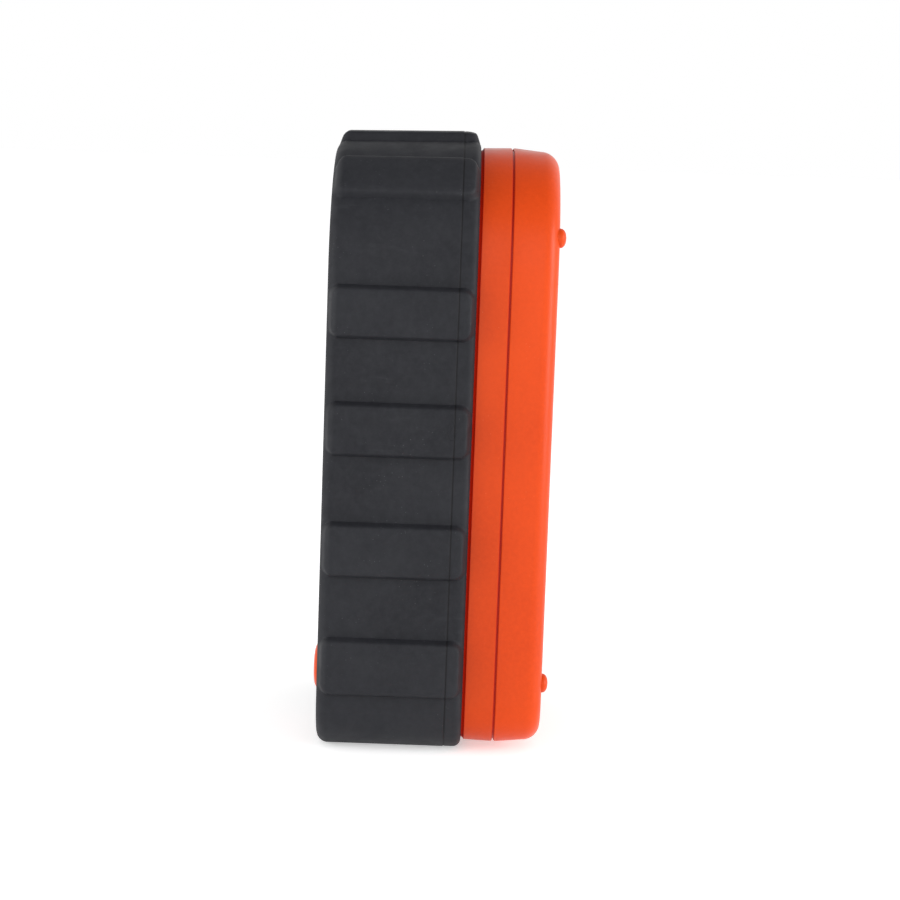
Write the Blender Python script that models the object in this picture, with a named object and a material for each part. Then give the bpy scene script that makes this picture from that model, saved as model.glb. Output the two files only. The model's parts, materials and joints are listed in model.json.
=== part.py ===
"""Hand-held digital multimeter, built as separate pieces.

Metres, +Z up, front towards -Y. The origin is the centre of the footprint, on the standing plane.
"Depth" below is the distance behind the front plane of the rubber bumper.
"""
import math

import bmesh
import bpy
from mathutils import Matrix, Vector

MM = 0.001
GAP = 0.3 * MM                      # running gap between neighbouring pieces

# ---- driving dimensions -------------------------------------------------------------------------
FRONT_Y = -29.2 * MM                # front plane of the bumper, so that the depth is centred on Y
HALF_WIDTH = 43.0 * MM              # bumper base, without ribs
BODY_TOP = 157.9 * MM               # bumper base, without ribs
BOTTOM_CORNER = 14.0 * MM
TOP_CORNER = 32.0 * MM
TOP_ARCH = 240.0 * MM

BUMPER_DEPTH = 37.6 * MM
BUMPER_WALL = 3.0 * MM
LIP_DEPTH = 3.7 * MM                # thickness of the lip that frames the faceplate
LIP_WIDTH = 7.0 * MM
RIB_HEIGHT = 2.4 * MM
RIB_RAMP = 1.2 * MM
SIDE_RIBS = ((15.7 * MM, 30.9 * MM), (46.4 * MM, 60.8 * MM),
             (77.5 * MM, 91.5 * MM), (107.3 * MM, 121.0 * MM))
CORNER_RIB = (math.radians(32.0), math.radians(56.2))
TOP_RIB_HALF = 13.5 * MM
TOP_DRAFT = 0.026                   # the bumper's top is lower at the front

SHELL_DROP = 1.8 * MM               # orange faces lie this far inside the bumper's base face
PARTING_DEPTH = 45.8 * MM
REAR_DEPTH = 58.1 * MM
SHELL_WALL = 2.2 * MM
BACK_FILLET = 4.4 * MM
FOOT_RADIUS = 2.5 * MM
FOOT_HEIGHT = 1.6 * MM
FEET = ((34.6 * MM, 133.9 * MM), (34.6 * MM, 18.8 * MM))

FACEPLATE = (2.6 * MM, 3.7 * MM)    # depths of its two faces
PANEL = (4.0 * MM, 6.5 * MM)        # front wall of the front shell
WINDOW_SIZE = (58.0 * MM, 27.0 * MM)
WINDOW_Z = 126.0 * MM
KEY_SIZE = (12.0 * MM, 6.0 * MM)
KEY_XS = (-27.0 * MM, -9.0 * MM, 9.0 * MM, 27.0 * MM)
KEY_Z = 103.5 * MM
DIAL_Z = 66.0 * MM
DIAL_WELL_RADIUS = 24.0 * MM
WELL_FLOOR = (10.0 * MM, 12.0 * MM)
KNOB_RADIUS = 22.8 * MM
SHAFT_RADIUS = 4.0 * MM
SOCKET_Z = 20.2 * MM
SOCKET_XS = (-28.0 * MM, -9.0 * MM, 10.0 * MM)
SOCKET_WELL_RADIUS = 5.6 * MM
SHROUD_RADIUS = 7.1 * MM
SHROUD_DEPTHS = (2.4 * MM, 20.0 * MM, 22.0 * MM)    # mouth, floor and back
SLEEVE_RADII = (3.0 * MM, 2.05 * MM)
SLEEVE_FRONT = 10.5 * MM
BUTTON_X = 29.0 * MM
BUTTON_RADIUS = 6.2 * MM
BUTTON_PROUD = 1.3 * MM

MAIN_BOARD = (24.0 * MM, 25.6 * MM)
DISPLAY_BOARD = (13.0 * MM, 14.6 * MM)
BOARD_HALF_WIDTH = 29.2 * MM
BEHIND_BOARD = MAIN_BOARD[1] + GAP
CELL_RADIUS = 7.1 * MM
CELL_LENGTH = 49.2 * MM
CELL_PITCH = 14.8 * MM
CELL_Z = 85.6 * MM                  # bottom of the cells
CELL_DEPTH = 45.0 * MM              # depth of the cells' axes
DOOR_X = 28.5 * MM
DOOR_Z = (81.0 * MM, 140.5 * MM)
STAND_X = 27.0 * MM
STAND_Z = (20.0 * MM, 74.0 * MM)     # free end and hinge axis
STAND_THICK = 2.6 * MM
RECESS_DEPTH = 3.2 * MM             # of the pocket that the stand folds into
RECESS_FLOOR = 2.4 * MM
NOTCH_HALF_WIDTH = 13.0 * MM        # finger notch below the stand
NOTCH_HEIGHT = 8.0 * MM
NOTCH_DEPTH = 4.8 * MM
HINGE_RADIUS = 1.6 * MM
DOOR_SCREW_Z = DOOR_Z[0] + 3.0 * MM
SCREW_POSTS = ((33.0 * MM, 36.0 * MM), (33.0 * MM, 112.0 * MM))
SCREW_BORE = 1.7 * MM
FRONT_POST_RADIUS = 3.4 * MM
REAR_POST_RADIUS = 3.6 * MM
SCREW_HEAD_BORE = 3.1 * MM

BLACK_RUBBER = ((0.030, 0.031, 0.035), 0.62, 0.0)
ORANGE = ((0.83, 0.105, 0.018), 0.38, 0.0)
DARK_PANEL = ((0.035, 0.036, 0.04), 0.5, 0.0)
CLEAR = ((0.85, 0.9, 0.9), 0.05, 0.0)
GREY_KEY = ((0.32, 0.33, 0.34), 0.5, 0.0)
BOARD_GREEN = ((0.01, 0.12, 0.05), 0.5, 0.0)
STEEL = ((0.6, 0.6, 0.62), 0.3, 1.0)
BRASS = ((0.75, 0.55, 0.25), 0.3, 1.0)
WHITE = ((0.8, 0.8, 0.78), 0.5, 0.0)
DARK_RUBBER = ((0.02, 0.02, 0.02), 0.7, 0.0)

# ---- scene set-up -------------------------------------------------------------------------------
for old in list(bpy.data.objects):
    bpy.data.objects.remove(old, do_unlink=True)
PARTS = bpy.data.collections.new("digital_multimeter")
CUTTERS = bpy.data.collections.new("cutters")
bpy.context.scene.collection.children.link(PARTS)
bpy.context.scene.collection.children.link(CUTTERS)
MATERIALS = {}


def material(name, look):
    """One Principled material per name."""
    if name not in MATERIALS:
        colour, roughness, metallic = look
        made = bpy.data.materials.new(name)
        made.use_nodes = True
        shader = made.node_tree.nodes["Principled BSDF"]
        shader.inputs["Base Color"].default_value = (*colour, 1.0)
        shader.inputs["Roughness"].default_value = roughness
        shader.inputs["Metallic"].default_value = metallic
        MATERIALS[name] = made
    return MATERIALS[name]


def y_at(depth):
    return FRONT_Y + depth


def finish_mesh(name, mesh_data, look, origin=Vector((0, 0, 0))):
    """Turn a bmesh in world metres into a part whose origin is at the given point.

    With no look it becomes a hidden cutter instead of a part.
    """
    bmesh.ops.recalc_face_normals(mesh_data, faces=mesh_data.faces)
    bmesh.ops.translate(mesh_data, verts=mesh_data.verts, vec=-origin)
    mesh = bpy.data.meshes.new(name)
    mesh_data.to_mesh(mesh)
    mesh_data.free()
    mesh.shade_smooth()
    mesh.set_sharp_from_angle(angle=math.radians(35))
    part = bpy.data.objects.new(name, mesh)
    part.location = origin
    if look is None:
        CUTTERS.objects.link(part)
        part.hide_render = True
        part.display_type = 'WIRE'
    else:
        PARTS.objects.link(part)
        mesh.materials.append(material(name, look))
    return part


# ---- primitives ---------------------------------------------------------------------------------
def add_box(mesh_data, x, depth, z):
    """A box between two values on each axis; depth is measured from the front plane."""
    centre = ((x[0] + x[1]) / 2, y_at((depth[0] + depth[1]) / 2), (z[0] + z[1]) / 2)
    size = (x[1] - x[0], depth[1] - depth[0], z[1] - z[0])
    place = Matrix.Translation(centre) @ Matrix.Diagonal((*size, 1.0))
    return bmesh.ops.create_cube(mesh_data, size=1.0, matrix=place)["verts"]


def add_rod(mesh_data, centre, depth, radius, sides=24):
    """A round rod along Y, at centre (x, z), between two depths."""
    middle = (centre[0], y_at((depth[0] + depth[1]) / 2), centre[1])
    place = Matrix.Translation(middle) @ Matrix.Rotation(-math.pi / 2, 4, 'X')
    bmesh.ops.create_cone(mesh_data, cap_ends=True, segments=sides, radius1=radius, radius2=radius,
                          depth=depth[1] - depth[0], matrix=place)


def box(name, x, depth, z, look, bevel=0.0, origin=Vector((0, 0, 0))):
    mesh_data = bmesh.new()
    add_box(mesh_data, x, depth, z)
    if bevel:
        bmesh.ops.bevel(mesh_data, geom=mesh_data.edges[:], offset=bevel, segments=2, profile=0.5,
                        affect='EDGES')
    return finish_mesh(name, mesh_data, look, origin)


def rod(name, centre, depth, radius, look, sides=24, bevel=0.0):
    mesh_data = bmesh.new()
    add_rod(mesh_data, centre, depth, radius, sides)
    if bevel:
        rims = [edge for edge in mesh_data.edges if any(len(face.verts) > 4 for face in edge.link_faces)]
        bmesh.ops.bevel(mesh_data, geom=rims, offset=bevel, segments=2, profile=0.5, affect='EDGES')
    return finish_mesh(name, mesh_data, look)


def turned(name, profile, matrix, look, sides=24, origin=Vector((0, 0, 0))):
    """A turned solid: (radius, height) points spun about Z, then placed by a matrix."""
    mesh_data = bmesh.new()
    rings = []
    for radius, height in profile:
        if radius < 1e-7:
            rings.append([mesh_data.verts.new((0, 0, height))])
        else:
            ring = []
            for step in range(sides):
                angle = 2 * math.pi * step / sides
                ring.append(mesh_data.verts.new((radius * math.cos(angle), radius * math.sin(angle), height)))
            rings.append(ring)
    closed = len(rings[0]) > 1
    pairs = list(zip(rings, rings[1:]))
    if closed:
        pairs.append((rings[-1], rings[0]))
    for low, high in pairs:
        for step in range(sides):
            after = (step + 1) % sides
            corners = [low[step % len(low)], low[after % len(low)],
                       high[after % len(high)], high[step % len(high)]]
            mesh_data.faces.new(list(dict.fromkeys(corners)))
    bmesh.ops.transform(mesh_data, matrix=matrix, verts=mesh_data.verts)
    return finish_mesh(name, mesh_data, look, origin)


def facing_back(centre, depth):
    """A matrix that puts a turned profile's Z along +Y, starting at the given depth."""
    return Matrix.Translation((centre[0], y_at(depth), centre[1])) @ Matrix.Rotation(-math.pi / 2, 4, 'X')


def combine(part, cutter, operation='DIFFERENCE'):
    """Cut a part with, or join to it, another mesh."""
    step = part.modifiers.new(operation.lower(), 'BOOLEAN')
    step.operation = operation
    step.solver = 'EXACT'
    step.use_self = True
    step.object = cutter
    return part


# ---- the outline of the instrument, seen from the front ------------------------------------------
ARCH_CENTRE_Z = BODY_TOP - TOP_ARCH
CORNER_CENTRE_X = HALF_WIDTH - TOP_CORNER
CORNER_CENTRE_Z = ARCH_CENTRE_Z + math.sqrt((TOP_ARCH - TOP_CORNER) ** 2 - CORNER_CENTRE_X ** 2)
ARCH_START = math.acos(CORNER_CENTRE_X / (TOP_ARCH - TOP_CORNER))


def arc_point(centre_x, centre_z, radius, angle):
    normal = (math.cos(angle), math.sin(angle))
    return (centre_x + radius * normal[0], centre_z + radius * normal[1], *normal)


def half_outline(ribbed):
    """Points (x, z, normal x, normal z, rib height 0..1) from bottom centre to top centre, right side."""
    points = [(0.0, 0.0, 0.0, -1.0, 0.0)]
    for step in range(7):
        angle = math.radians(-90 + 15 * step)
        points.append((*arc_point(HALF_WIDTH - BOTTOM_CORNER, BOTTOM_CORNER, BOTTOM_CORNER, angle), 0.0))
    if ribbed:
        for low, high in SIDE_RIBS:
            edges = ((low, 0.0), (low + RIB_RAMP, 1.0), (high - RIB_RAMP, 1.0), (high, 0.0))
            for height, rise in edges:
                if height > BOTTOM_CORNER:
                    points.append((HALF_WIDTH, height, 1.0, 0.0, rise))
    corner = [math.radians(a) for a in range(0, 86, 10)]
    ramp = RIB_RAMP / TOP_CORNER
    top_edge = math.acos((TOP_RIB_HALF - CORNER_CENTRE_X) / TOP_CORNER)
    stops = [(angle, 0.0) for angle in corner]
    if ribbed:
        low, high = CORNER_RIB
        stops = [(angle, 0.0) for angle in corner if angle < low or high + ramp < angle < top_edge - ramp]
        stops += [(low, 0.0), (low + ramp, 1.0), (math.radians(42), 1.0), (high - ramp, 1.0), (high, 0.0)]
        stops += [(top_edge - ramp, 0.0), (top_edge, 1.0)]
    for angle, rise in sorted(stops):
        points.append((*arc_point(CORNER_CENTRE_X, CORNER_CENTRE_Z, TOP_CORNER, angle), rise))
    top_rise = 1.0 if ribbed else 0.0
    for angle in (ARCH_START, math.radians(90)):
        points.append((*arc_point(0.0, ARCH_CENTRE_Z, TOP_ARCH, angle), top_rise))
    return points


def full_outline(ribbed=False):
    """The whole closed outline, mirrored about the centre plane."""
    right = half_outline(ribbed)
    left = [(-x, z, -nx, nz, rise) for x, z, nx, nz, rise in reversed(right[1:-1])]
    return right + left


def add_loft(mesh_data, outline, rings, closed):
    """Rings are (depth, offset outwards, share of the rib height). A closed loft is a band; others get ends.

    A share of None also leaves out the bumper's draft.
    """
    made = []
    for depth, offset, share in rings:
        ring = []
        for x, z, normal_x, normal_z, rise in outline:
            out = offset
            if share is not None:
                draft = TOP_DRAFT * max(0.0, BUMPER_DEPTH - depth) * max(0.0, normal_z)
                out += rise * share * RIB_HEIGHT - draft
            ring.append(mesh_data.verts.new((x + out * normal_x, y_at(depth), z + out * normal_z)))
        made.append(ring)
    pairs = list(zip(made, made[1:]))
    if closed:
        pairs.append((made[-1], made[0]))
    else:
        mesh_data.faces.new(made[0])
        mesh_data.faces.new(made[-1])
    count = len(outline)
    for first, second in pairs:
        for step in range(count):
            after = (step + 1) % count
            mesh_data.faces.new((first[step], first[after], second[after], second[step]))


def loft(name, outline, rings, look, closed=False):
    mesh_data = bmesh.new()
    add_loft(mesh_data, outline, rings, closed)
    return finish_mesh(name, mesh_data, look)


# ---- housing ------------------------------------------------------------------------------------
def make_bumper():
    """Soft sleeve: front lip, ribbed outside, plain bore."""
    inside = -BUMPER_WALL
    rings = [
        (LIP_DEPTH, -LIP_WIDTH, None), (0.8 * MM, -LIP_WIDTH, None), (0.0, -6.2 * MM, None),
        (0.0, -2.9 * MM, 0.0), (0.9 * MM, -1.0 * MM, 0.0), (2.0 * MM, -0.3 * MM, 0.4), (3.4 * MM, 0.0, 1.0),
        (34.8 * MM, 0.0, 1.0), (36.2 * MM, -0.1 * MM, 0.55), (36.9 * MM, -0.5 * MM, 0.0),
        (BUMPER_DEPTH, -1.3 * MM, 0.0), (BUMPER_DEPTH, inside, None), (LIP_DEPTH, inside, None),
    ]
    return loft("rubber_bumper", full_outline(ribbed=True), rings, BLACK_RUBBER, closed=True)


def front_holes():
    """Cutter for everything that passes through the front wall."""
    mesh_data = bmesh.new()
    through = (PANEL[0] - 2 * MM, PANEL[1] + 2 * MM)
    margin = 2.5 * MM
    half_w = WINDOW_SIZE[0] / 2 - margin
    half_h = WINDOW_SIZE[1] / 2 - margin
    add_box(mesh_data, (-half_w, half_w), through, (WINDOW_Z - half_h, WINDOW_Z + half_h))
    for key_x in KEY_XS:
        half_w = KEY_SIZE[0] / 2 + GAP
        half_h = KEY_SIZE[1] / 2 + GAP
        add_box(mesh_data, (key_x - half_w, key_x + half_w), through, (KEY_Z - half_h, KEY_Z + half_h))
    for socket_x in SOCKET_XS:
        add_rod(mesh_data, (socket_x, SOCKET_Z), through, SHROUD_RADIUS + GAP)
    add_rod(mesh_data, (BUTTON_X, SOCKET_Z), through, BUTTON_RADIUS + GAP)
    add_rod(mesh_data, (0.0, DIAL_Z), (PANEL[0] - 2 * MM, WELL_FLOOR[0]), DIAL_WELL_RADIUS, sides=48)
    add_rod(mesh_data, (0.0, DIAL_Z), (WELL_FLOOR[0] - 1 * MM, WELL_FLOOR[1] + 2 * MM), SHAFT_RADIUS + GAP)
    bore_start = 33.0 * MM
    for side in (-1, 1):
        for post_x, post_z in SCREW_POSTS:
            add_rod(mesh_data, (side * post_x, post_z), (bore_start, PARTING_DEPTH + 3 * MM), SCREW_BORE,
                    sides=16)
    return finish_mesh("front_holes", mesh_data, None)


def make_front_shell():
    outer = -BUMPER_WALL - GAP
    rings = [
        (PANEL[0], outer - 1.0 * MM, None), (PANEL[0] + 1.0 * MM, outer, None),
        (BUMPER_DEPTH + GAP, outer, None), (BUMPER_DEPTH + GAP, -SHELL_DROP, None),
        (PARTING_DEPTH - 0.4 * MM, -SHELL_DROP - 0.1 * MM, None), (PARTING_DEPTH, -SHELL_DROP - 0.6 * MM, None),
        (PARTING_DEPTH, -SHELL_DROP - 0.1 * MM - SHELL_WALL - 1.2 * MM, None),
        (PANEL[1], outer - SHELL_WALL, None),
    ]
    shell = loft("front_shell", full_outline(), rings, ORANGE)
    extras = bmesh.new()
    add_rod(extras, (0.0, DIAL_Z), (PANEL[1] - 1 * MM, WELL_FLOOR[1]), DIAL_WELL_RADIUS + 2 * MM, sides=48)
    combine(shell, finish_mesh("dial_well_cup", extras, None), 'UNION')
    for side in (-1, 1):
        for index, (post_x, post_z) in enumerate(SCREW_POSTS):
            post = bmesh.new()
            add_rod(post, (side * post_x, post_z), (PANEL[1] - 1 * MM, PARTING_DEPTH - 1 * MM),
                    FRONT_POST_RADIUS, sides=20)
            combine(shell, finish_mesh("front_post_%d_%d" % (side, index), post, None), 'UNION')
    return combine(shell, front_holes())


def rear_holes():
    """Cutter for the battery door, the stand's pocket and finger notch, and the screws' bores."""
    mesh_data = bmesh.new()
    past = REAR_DEPTH + 2 * MM
    add_box(mesh_data, (-DOOR_X + 1.2 * MM, DOOR_X - 1.2 * MM), (REAR_DEPTH - 8 * MM, past),
            (DOOR_Z[0] + 6 * MM, DOOR_Z[1] - 2 * MM))
    add_box(mesh_data, (-DOOR_X - GAP, DOOR_X + GAP), (REAR_DEPTH - 1.6 * MM, past),
            (DOOR_Z[0] - GAP, DOOR_Z[1] + GAP))
    for side in (-1, 1):
        for post_x, post_z in SCREW_POSTS:
            add_rod(mesh_data, (side * post_x, post_z), (PARTING_DEPTH - 3 * MM, past), SCREW_BORE, sides=16)
            add_rod(mesh_data, (side * post_x, post_z), (REAR_DEPTH - 4.6 * MM, past), SCREW_HEAD_BORE,
                    sides=20)
    add_rod(mesh_data, (0.0, DOOR_SCREW_Z), (REAR_DEPTH - 7 * MM, past), 1.5 * MM, sides=16)
    add_box(mesh_data, (-STAND_X - GAP, STAND_X + GAP), (REAR_DEPTH - RECESS_DEPTH, past),
            (STAND_Z[0] - GAP, STAND_Z[1] + 2.6 * MM))
    add_box(mesh_data, (-NOTCH_HALF_WIDTH, NOTCH_HALF_WIDTH), (REAR_DEPTH - NOTCH_DEPTH, past),
            (STAND_Z[0] - NOTCH_HEIGHT, STAND_Z[0] + 1 * MM))
    hinge_y = REAR_DEPTH - STAND_THICK / 2
    for side in (-1, 1):
        reach = sorted((side * (STAND_X - 1 * MM), side * (STAND_X + 3.2 * MM)))
        add_box(mesh_data, reach, (hinge_y - HINGE_RADIUS - GAP, past),
                (STAND_Z[1] - HINGE_RADIUS - GAP, STAND_Z[1] + HINGE_RADIUS + GAP))
    return finish_mesh("rear_holes", mesh_data, None)


def make_rear_shell():
    taper = 0.7 * MM
    edge = -SHELL_DROP - taper
    rings = []
    for step in range(5, -1, -1):
        angle = math.radians(18 * step)
        depth = REAR_DEPTH - BACK_FILLET * (1 - math.sin(angle))
        rings.append((depth, edge - BACK_FILLET * (1 - math.cos(angle)), None))
    inner = edge - SHELL_WALL
    rim = PARTING_DEPTH + GAP + 0.1 * MM
    rings += [(rim + 0.4 * MM, -SHELL_DROP - 0.1 * MM, None), (rim, -SHELL_DROP - 0.6 * MM, None),
              (rim, inner - 0.5 * MM, None),
              (REAR_DEPTH - SHELL_WALL - 3.4 * MM, inner - 1.4 * MM, None),
              (REAR_DEPTH - SHELL_WALL - 1.6 * MM, inner - 3.4 * MM, None)]
    shell = loft("rear_shell", full_outline(), rings, ORANGE)
    floor_depth = REAR_DEPTH - SHELL_WALL - 1.6 * MM
    backing = box("stand_pocket_backing", (-STAND_X - 2 * MM, STAND_X + 2 * MM),
                  (REAR_DEPTH - NOTCH_DEPTH - RECESS_FLOOR, floor_depth + 1 * MM),
                  (STAND_Z[0] - NOTCH_HEIGHT - 2 * MM, STAND_Z[1] + 4 * MM), None)
    combine(shell, backing, 'UNION')
    for side in (-1, 1):
        for index, (post_x, post_z) in enumerate(SCREW_POSTS):
            post = bmesh.new()
            add_rod(post, (side * post_x, post_z), (PARTING_DEPTH + GAP, floor_depth + 1 * MM),
                    REAR_POST_RADIUS, sides=20)
            combine(shell, finish_mesh("rear_post_%d_%d" % (side, index), post, None), 'UNION')
    combine(shell, rear_holes())
    sphere = (FOOT_RADIUS ** 2 + FOOT_HEIGHT ** 2) / (2 * FOOT_HEIGHT)
    for side in (-1, 1):
        for index, (foot_x, foot_z) in enumerate(FEET):
            profile = [(0.0, -2.0 * MM), (FOOT_RADIUS, -2.0 * MM)]
            start = math.asin(FOOT_RADIUS / sphere)
            for step in range(4):
                angle = start * (1 - step / 4)
                profile.append((sphere * math.sin(angle), FOOT_HEIGHT - sphere * (1 - math.cos(angle))))
            profile.append((0.0, FOOT_HEIGHT))
            place = facing_back((side * foot_x, foot_z), REAR_DEPTH)
            combine(shell, turned("foot_%d_%d" % (side, index), profile, place, None, sides=16), 'UNION')
    return shell


def make_faceplate():
    edge = -LIP_WIDTH - GAP
    rings = [(FACEPLATE[0], edge, None), (FACEPLATE[1], edge, None)]
    plate = loft("faceplate", full_outline(), rings, DARK_PANEL)
    mesh_data = bmesh.new()
    through = (FACEPLATE[0] - 1 * MM, FACEPLATE[1] + 1 * MM)
    half_w, half_h = WINDOW_SIZE[0] / 2 + GAP, WINDOW_SIZE[1] / 2 + GAP
    add_box(mesh_data, (-half_w, half_w), through, (WINDOW_Z - half_h, WINDOW_Z + half_h))
    for key_x in KEY_XS:
        half_w, half_h = KEY_SIZE[0] / 2 + GAP, KEY_SIZE[1] / 2 + GAP
        add_box(mesh_data, (key_x - half_w, key_x + half_w), through, (KEY_Z - half_h, KEY_Z + half_h))
    for socket_x in SOCKET_XS:
        add_rod(mesh_data, (socket_x, SOCKET_Z), through, SHROUD_RADIUS + GAP)
    add_rod(mesh_data, (BUTTON_X, SOCKET_Z), through, BUTTON_RADIUS + GAP)
    add_rod(mesh_data, (0.0, DIAL_Z), through, DIAL_WELL_RADIUS, sides=48)
    return combine(plate, finish_mesh("faceplate_holes", mesh_data, None))


def make_seal():
    """Soft gasket between the two shells, inside the parting line."""
    outer = -SHELL_DROP - 3.6 * MM
    inner = outer - 0.7 * MM
    rings = [(PARTING_DEPTH - 1.0 * MM, outer, None), (PARTING_DEPTH + 1.2 * MM, outer, None),
             (PARTING_DEPTH + 1.2 * MM, inner, None), (PARTING_DEPTH - 1.0 * MM, inner, None)]
    return loft("shell_seal", full_outline(), rings, DARK_RUBBER, closed=True)


def make_battery_door():
    door = box("battery_door", (-DOOR_X, DOOR_X), (REAR_DEPTH - 1.3 * MM, REAR_DEPTH), DOOR_Z, ORANGE)
    inner = box("door_rim", (-DOOR_X + 1.6 * MM, DOOR_X - 1.6 * MM),
                (REAR_DEPTH - 3.0 * MM, REAR_DEPTH - 1 * MM),
                (DOOR_Z[0] + 6.4 * MM, DOOR_Z[1] - 2.4 * MM), None)
    combine(door, inner, 'UNION')
    hole = bmesh.new()
    add_rod(hole, (0.0, DOOR_SCREW_Z), (REAR_DEPTH - 3 * MM, REAR_DEPTH + 1 * MM), 1.5 * MM, sides=16)
    add_rod(hole, (0.0, DOOR_SCREW_Z), (REAR_DEPTH - 0.8 * MM, REAR_DEPTH + 1 * MM), 2.8 * MM, sides=20)
    return combine(door, finish_mesh("door_screw_hole", hole, None))


def make_stand():
    """Flat leg hinged at its top on two moulded stubs, with a shallow panel in its outer face."""
    depth = (REAR_DEPTH - STAND_THICK, REAR_DEPTH)
    hinge = Vector((0.0, y_at(REAR_DEPTH - STAND_THICK / 2), STAND_Z[1]))
    mesh_data = bmesh.new()
    add_box(mesh_data, (-STAND_X, STAND_X), depth, (STAND_Z[0], STAND_Z[1] + 1.0 * MM))
    bmesh.ops.bevel(mesh_data, geom=mesh_data.edges[:], offset=0.5 * MM, segments=1, affect='EDGES')
    stand = finish_mesh("tilt_stand", mesh_data, ORANGE, hinge)
    axle = bmesh.new()
    place = Matrix.Translation(hinge) @ Matrix.Rotation(math.pi / 2, 4, 'Y')
    bmesh.ops.create_cone(axle, cap_ends=True, segments=16, radius1=HINGE_RADIUS, radius2=HINGE_RADIUS,
                          depth=2 * (STAND_X + 2.7 * MM), matrix=place)
    combine(stand, finish_mesh("stand_axle", axle, None), 'UNION')
    panel = box("stand_panel", (-20 * MM, 20 * MM), (depth[1] - 0.7 * MM, depth[1] + 1 * MM),
                (STAND_Z[0] + 9 * MM, STAND_Z[1] - 7 * MM), None)
    return combine(stand, panel)


# ---- controls -----------------------------------------------------------------------------------
def make_knob():
    """Round selector: disc in the well, finger bar across it, shaft down to the rotor."""
    centre = Vector((0.0, y_at(0.0), DIAL_Z))
    profile = [(0.0, 5.6 * MM), (18.5 * MM, 5.6 * MM), (20.8 * MM, 4.6 * MM), (22.0 * MM, 4.8 * MM),
               (KNOB_RADIUS, 5.6 * MM), (KNOB_RADIUS, 9.6 * MM), (SHAFT_RADIUS, 9.6 * MM),
               (SHAFT_RADIUS, 22.6 * MM), (0.0, 22.6 * MM)]
    knob = turned("selector_knob", profile, facing_back((0.0, DIAL_Z), 0.0), DARK_PANEL, sides=48,
                  origin=centre)
    bar = bmesh.new()
    verts = add_box(bar, (-5.6 * MM, 5.6 * MM), (0.5 * MM, 7.0 * MM), (DIAL_Z - 19.5 * MM, DIAL_Z + 21.0 * MM))
    for vert in verts:
        if vert.co.y < y_at(3 * MM):
            vert.co.x *= 0.62
            vert.co.z = DIAL_Z + (vert.co.z - DIAL_Z) * 0.94
    bmesh.ops.bevel(bar, geom=bar.edges[:], offset=1.2 * MM, segments=2, profile=0.5, affect='EDGES')
    return combine(knob, finish_mesh("knob_bar", bar, None), 'UNION')


def make_keys():
    for name, key_x in zip(("hold_key", "range_key", "relative_key", "light_key"), KEY_XS):
        half_w, half_h = KEY_SIZE[0] / 2, KEY_SIZE[1] / 2
        origin = Vector((key_x, y_at(1.2 * MM), KEY_Z))
        key = box(name, (key_x - half_w, key_x + half_w), (1.2 * MM, 8.0 * MM),
                  (KEY_Z - half_h, KEY_Z + half_h), GREY_KEY, bevel=0.7 * MM, origin=origin)
        flange = box(name + "_flange", (key_x - half_w - 1 * MM, key_x + half_w + 1 * MM),
                     (6.9 * MM, 7.9 * MM), (KEY_Z - half_h - 1 * MM, KEY_Z + half_h + 1 * MM), None)
        combine(key, flange, 'UNION')


def make_button():
    """Large domed push button that stands just past the bumper's lip."""
    tip = -BUTTON_PROUD
    dome = 1.9 * MM
    profile = [(0.0, tip)]
    for step in range(1, 6):
        angle = math.radians(18 * step)
        profile.append((BUTTON_RADIUS * math.sin(angle) ** 0.8, tip + dome * (1 - math.cos(angle))))
    flange = BUTTON_RADIUS + 1.2 * MM
    profile += [(BUTTON_RADIUS, 6.8 * MM), (flange, 6.8 * MM), (flange, 7.6 * MM), (0.0, 7.6 * MM)]
    origin = Vector((BUTTON_X, y_at(0.0), SOCKET_Z))
    return turned("push_button", profile, facing_back((BUTTON_X, SOCKET_Z), 0.0), ORANGE, sides=32,
                  origin=origin)


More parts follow.
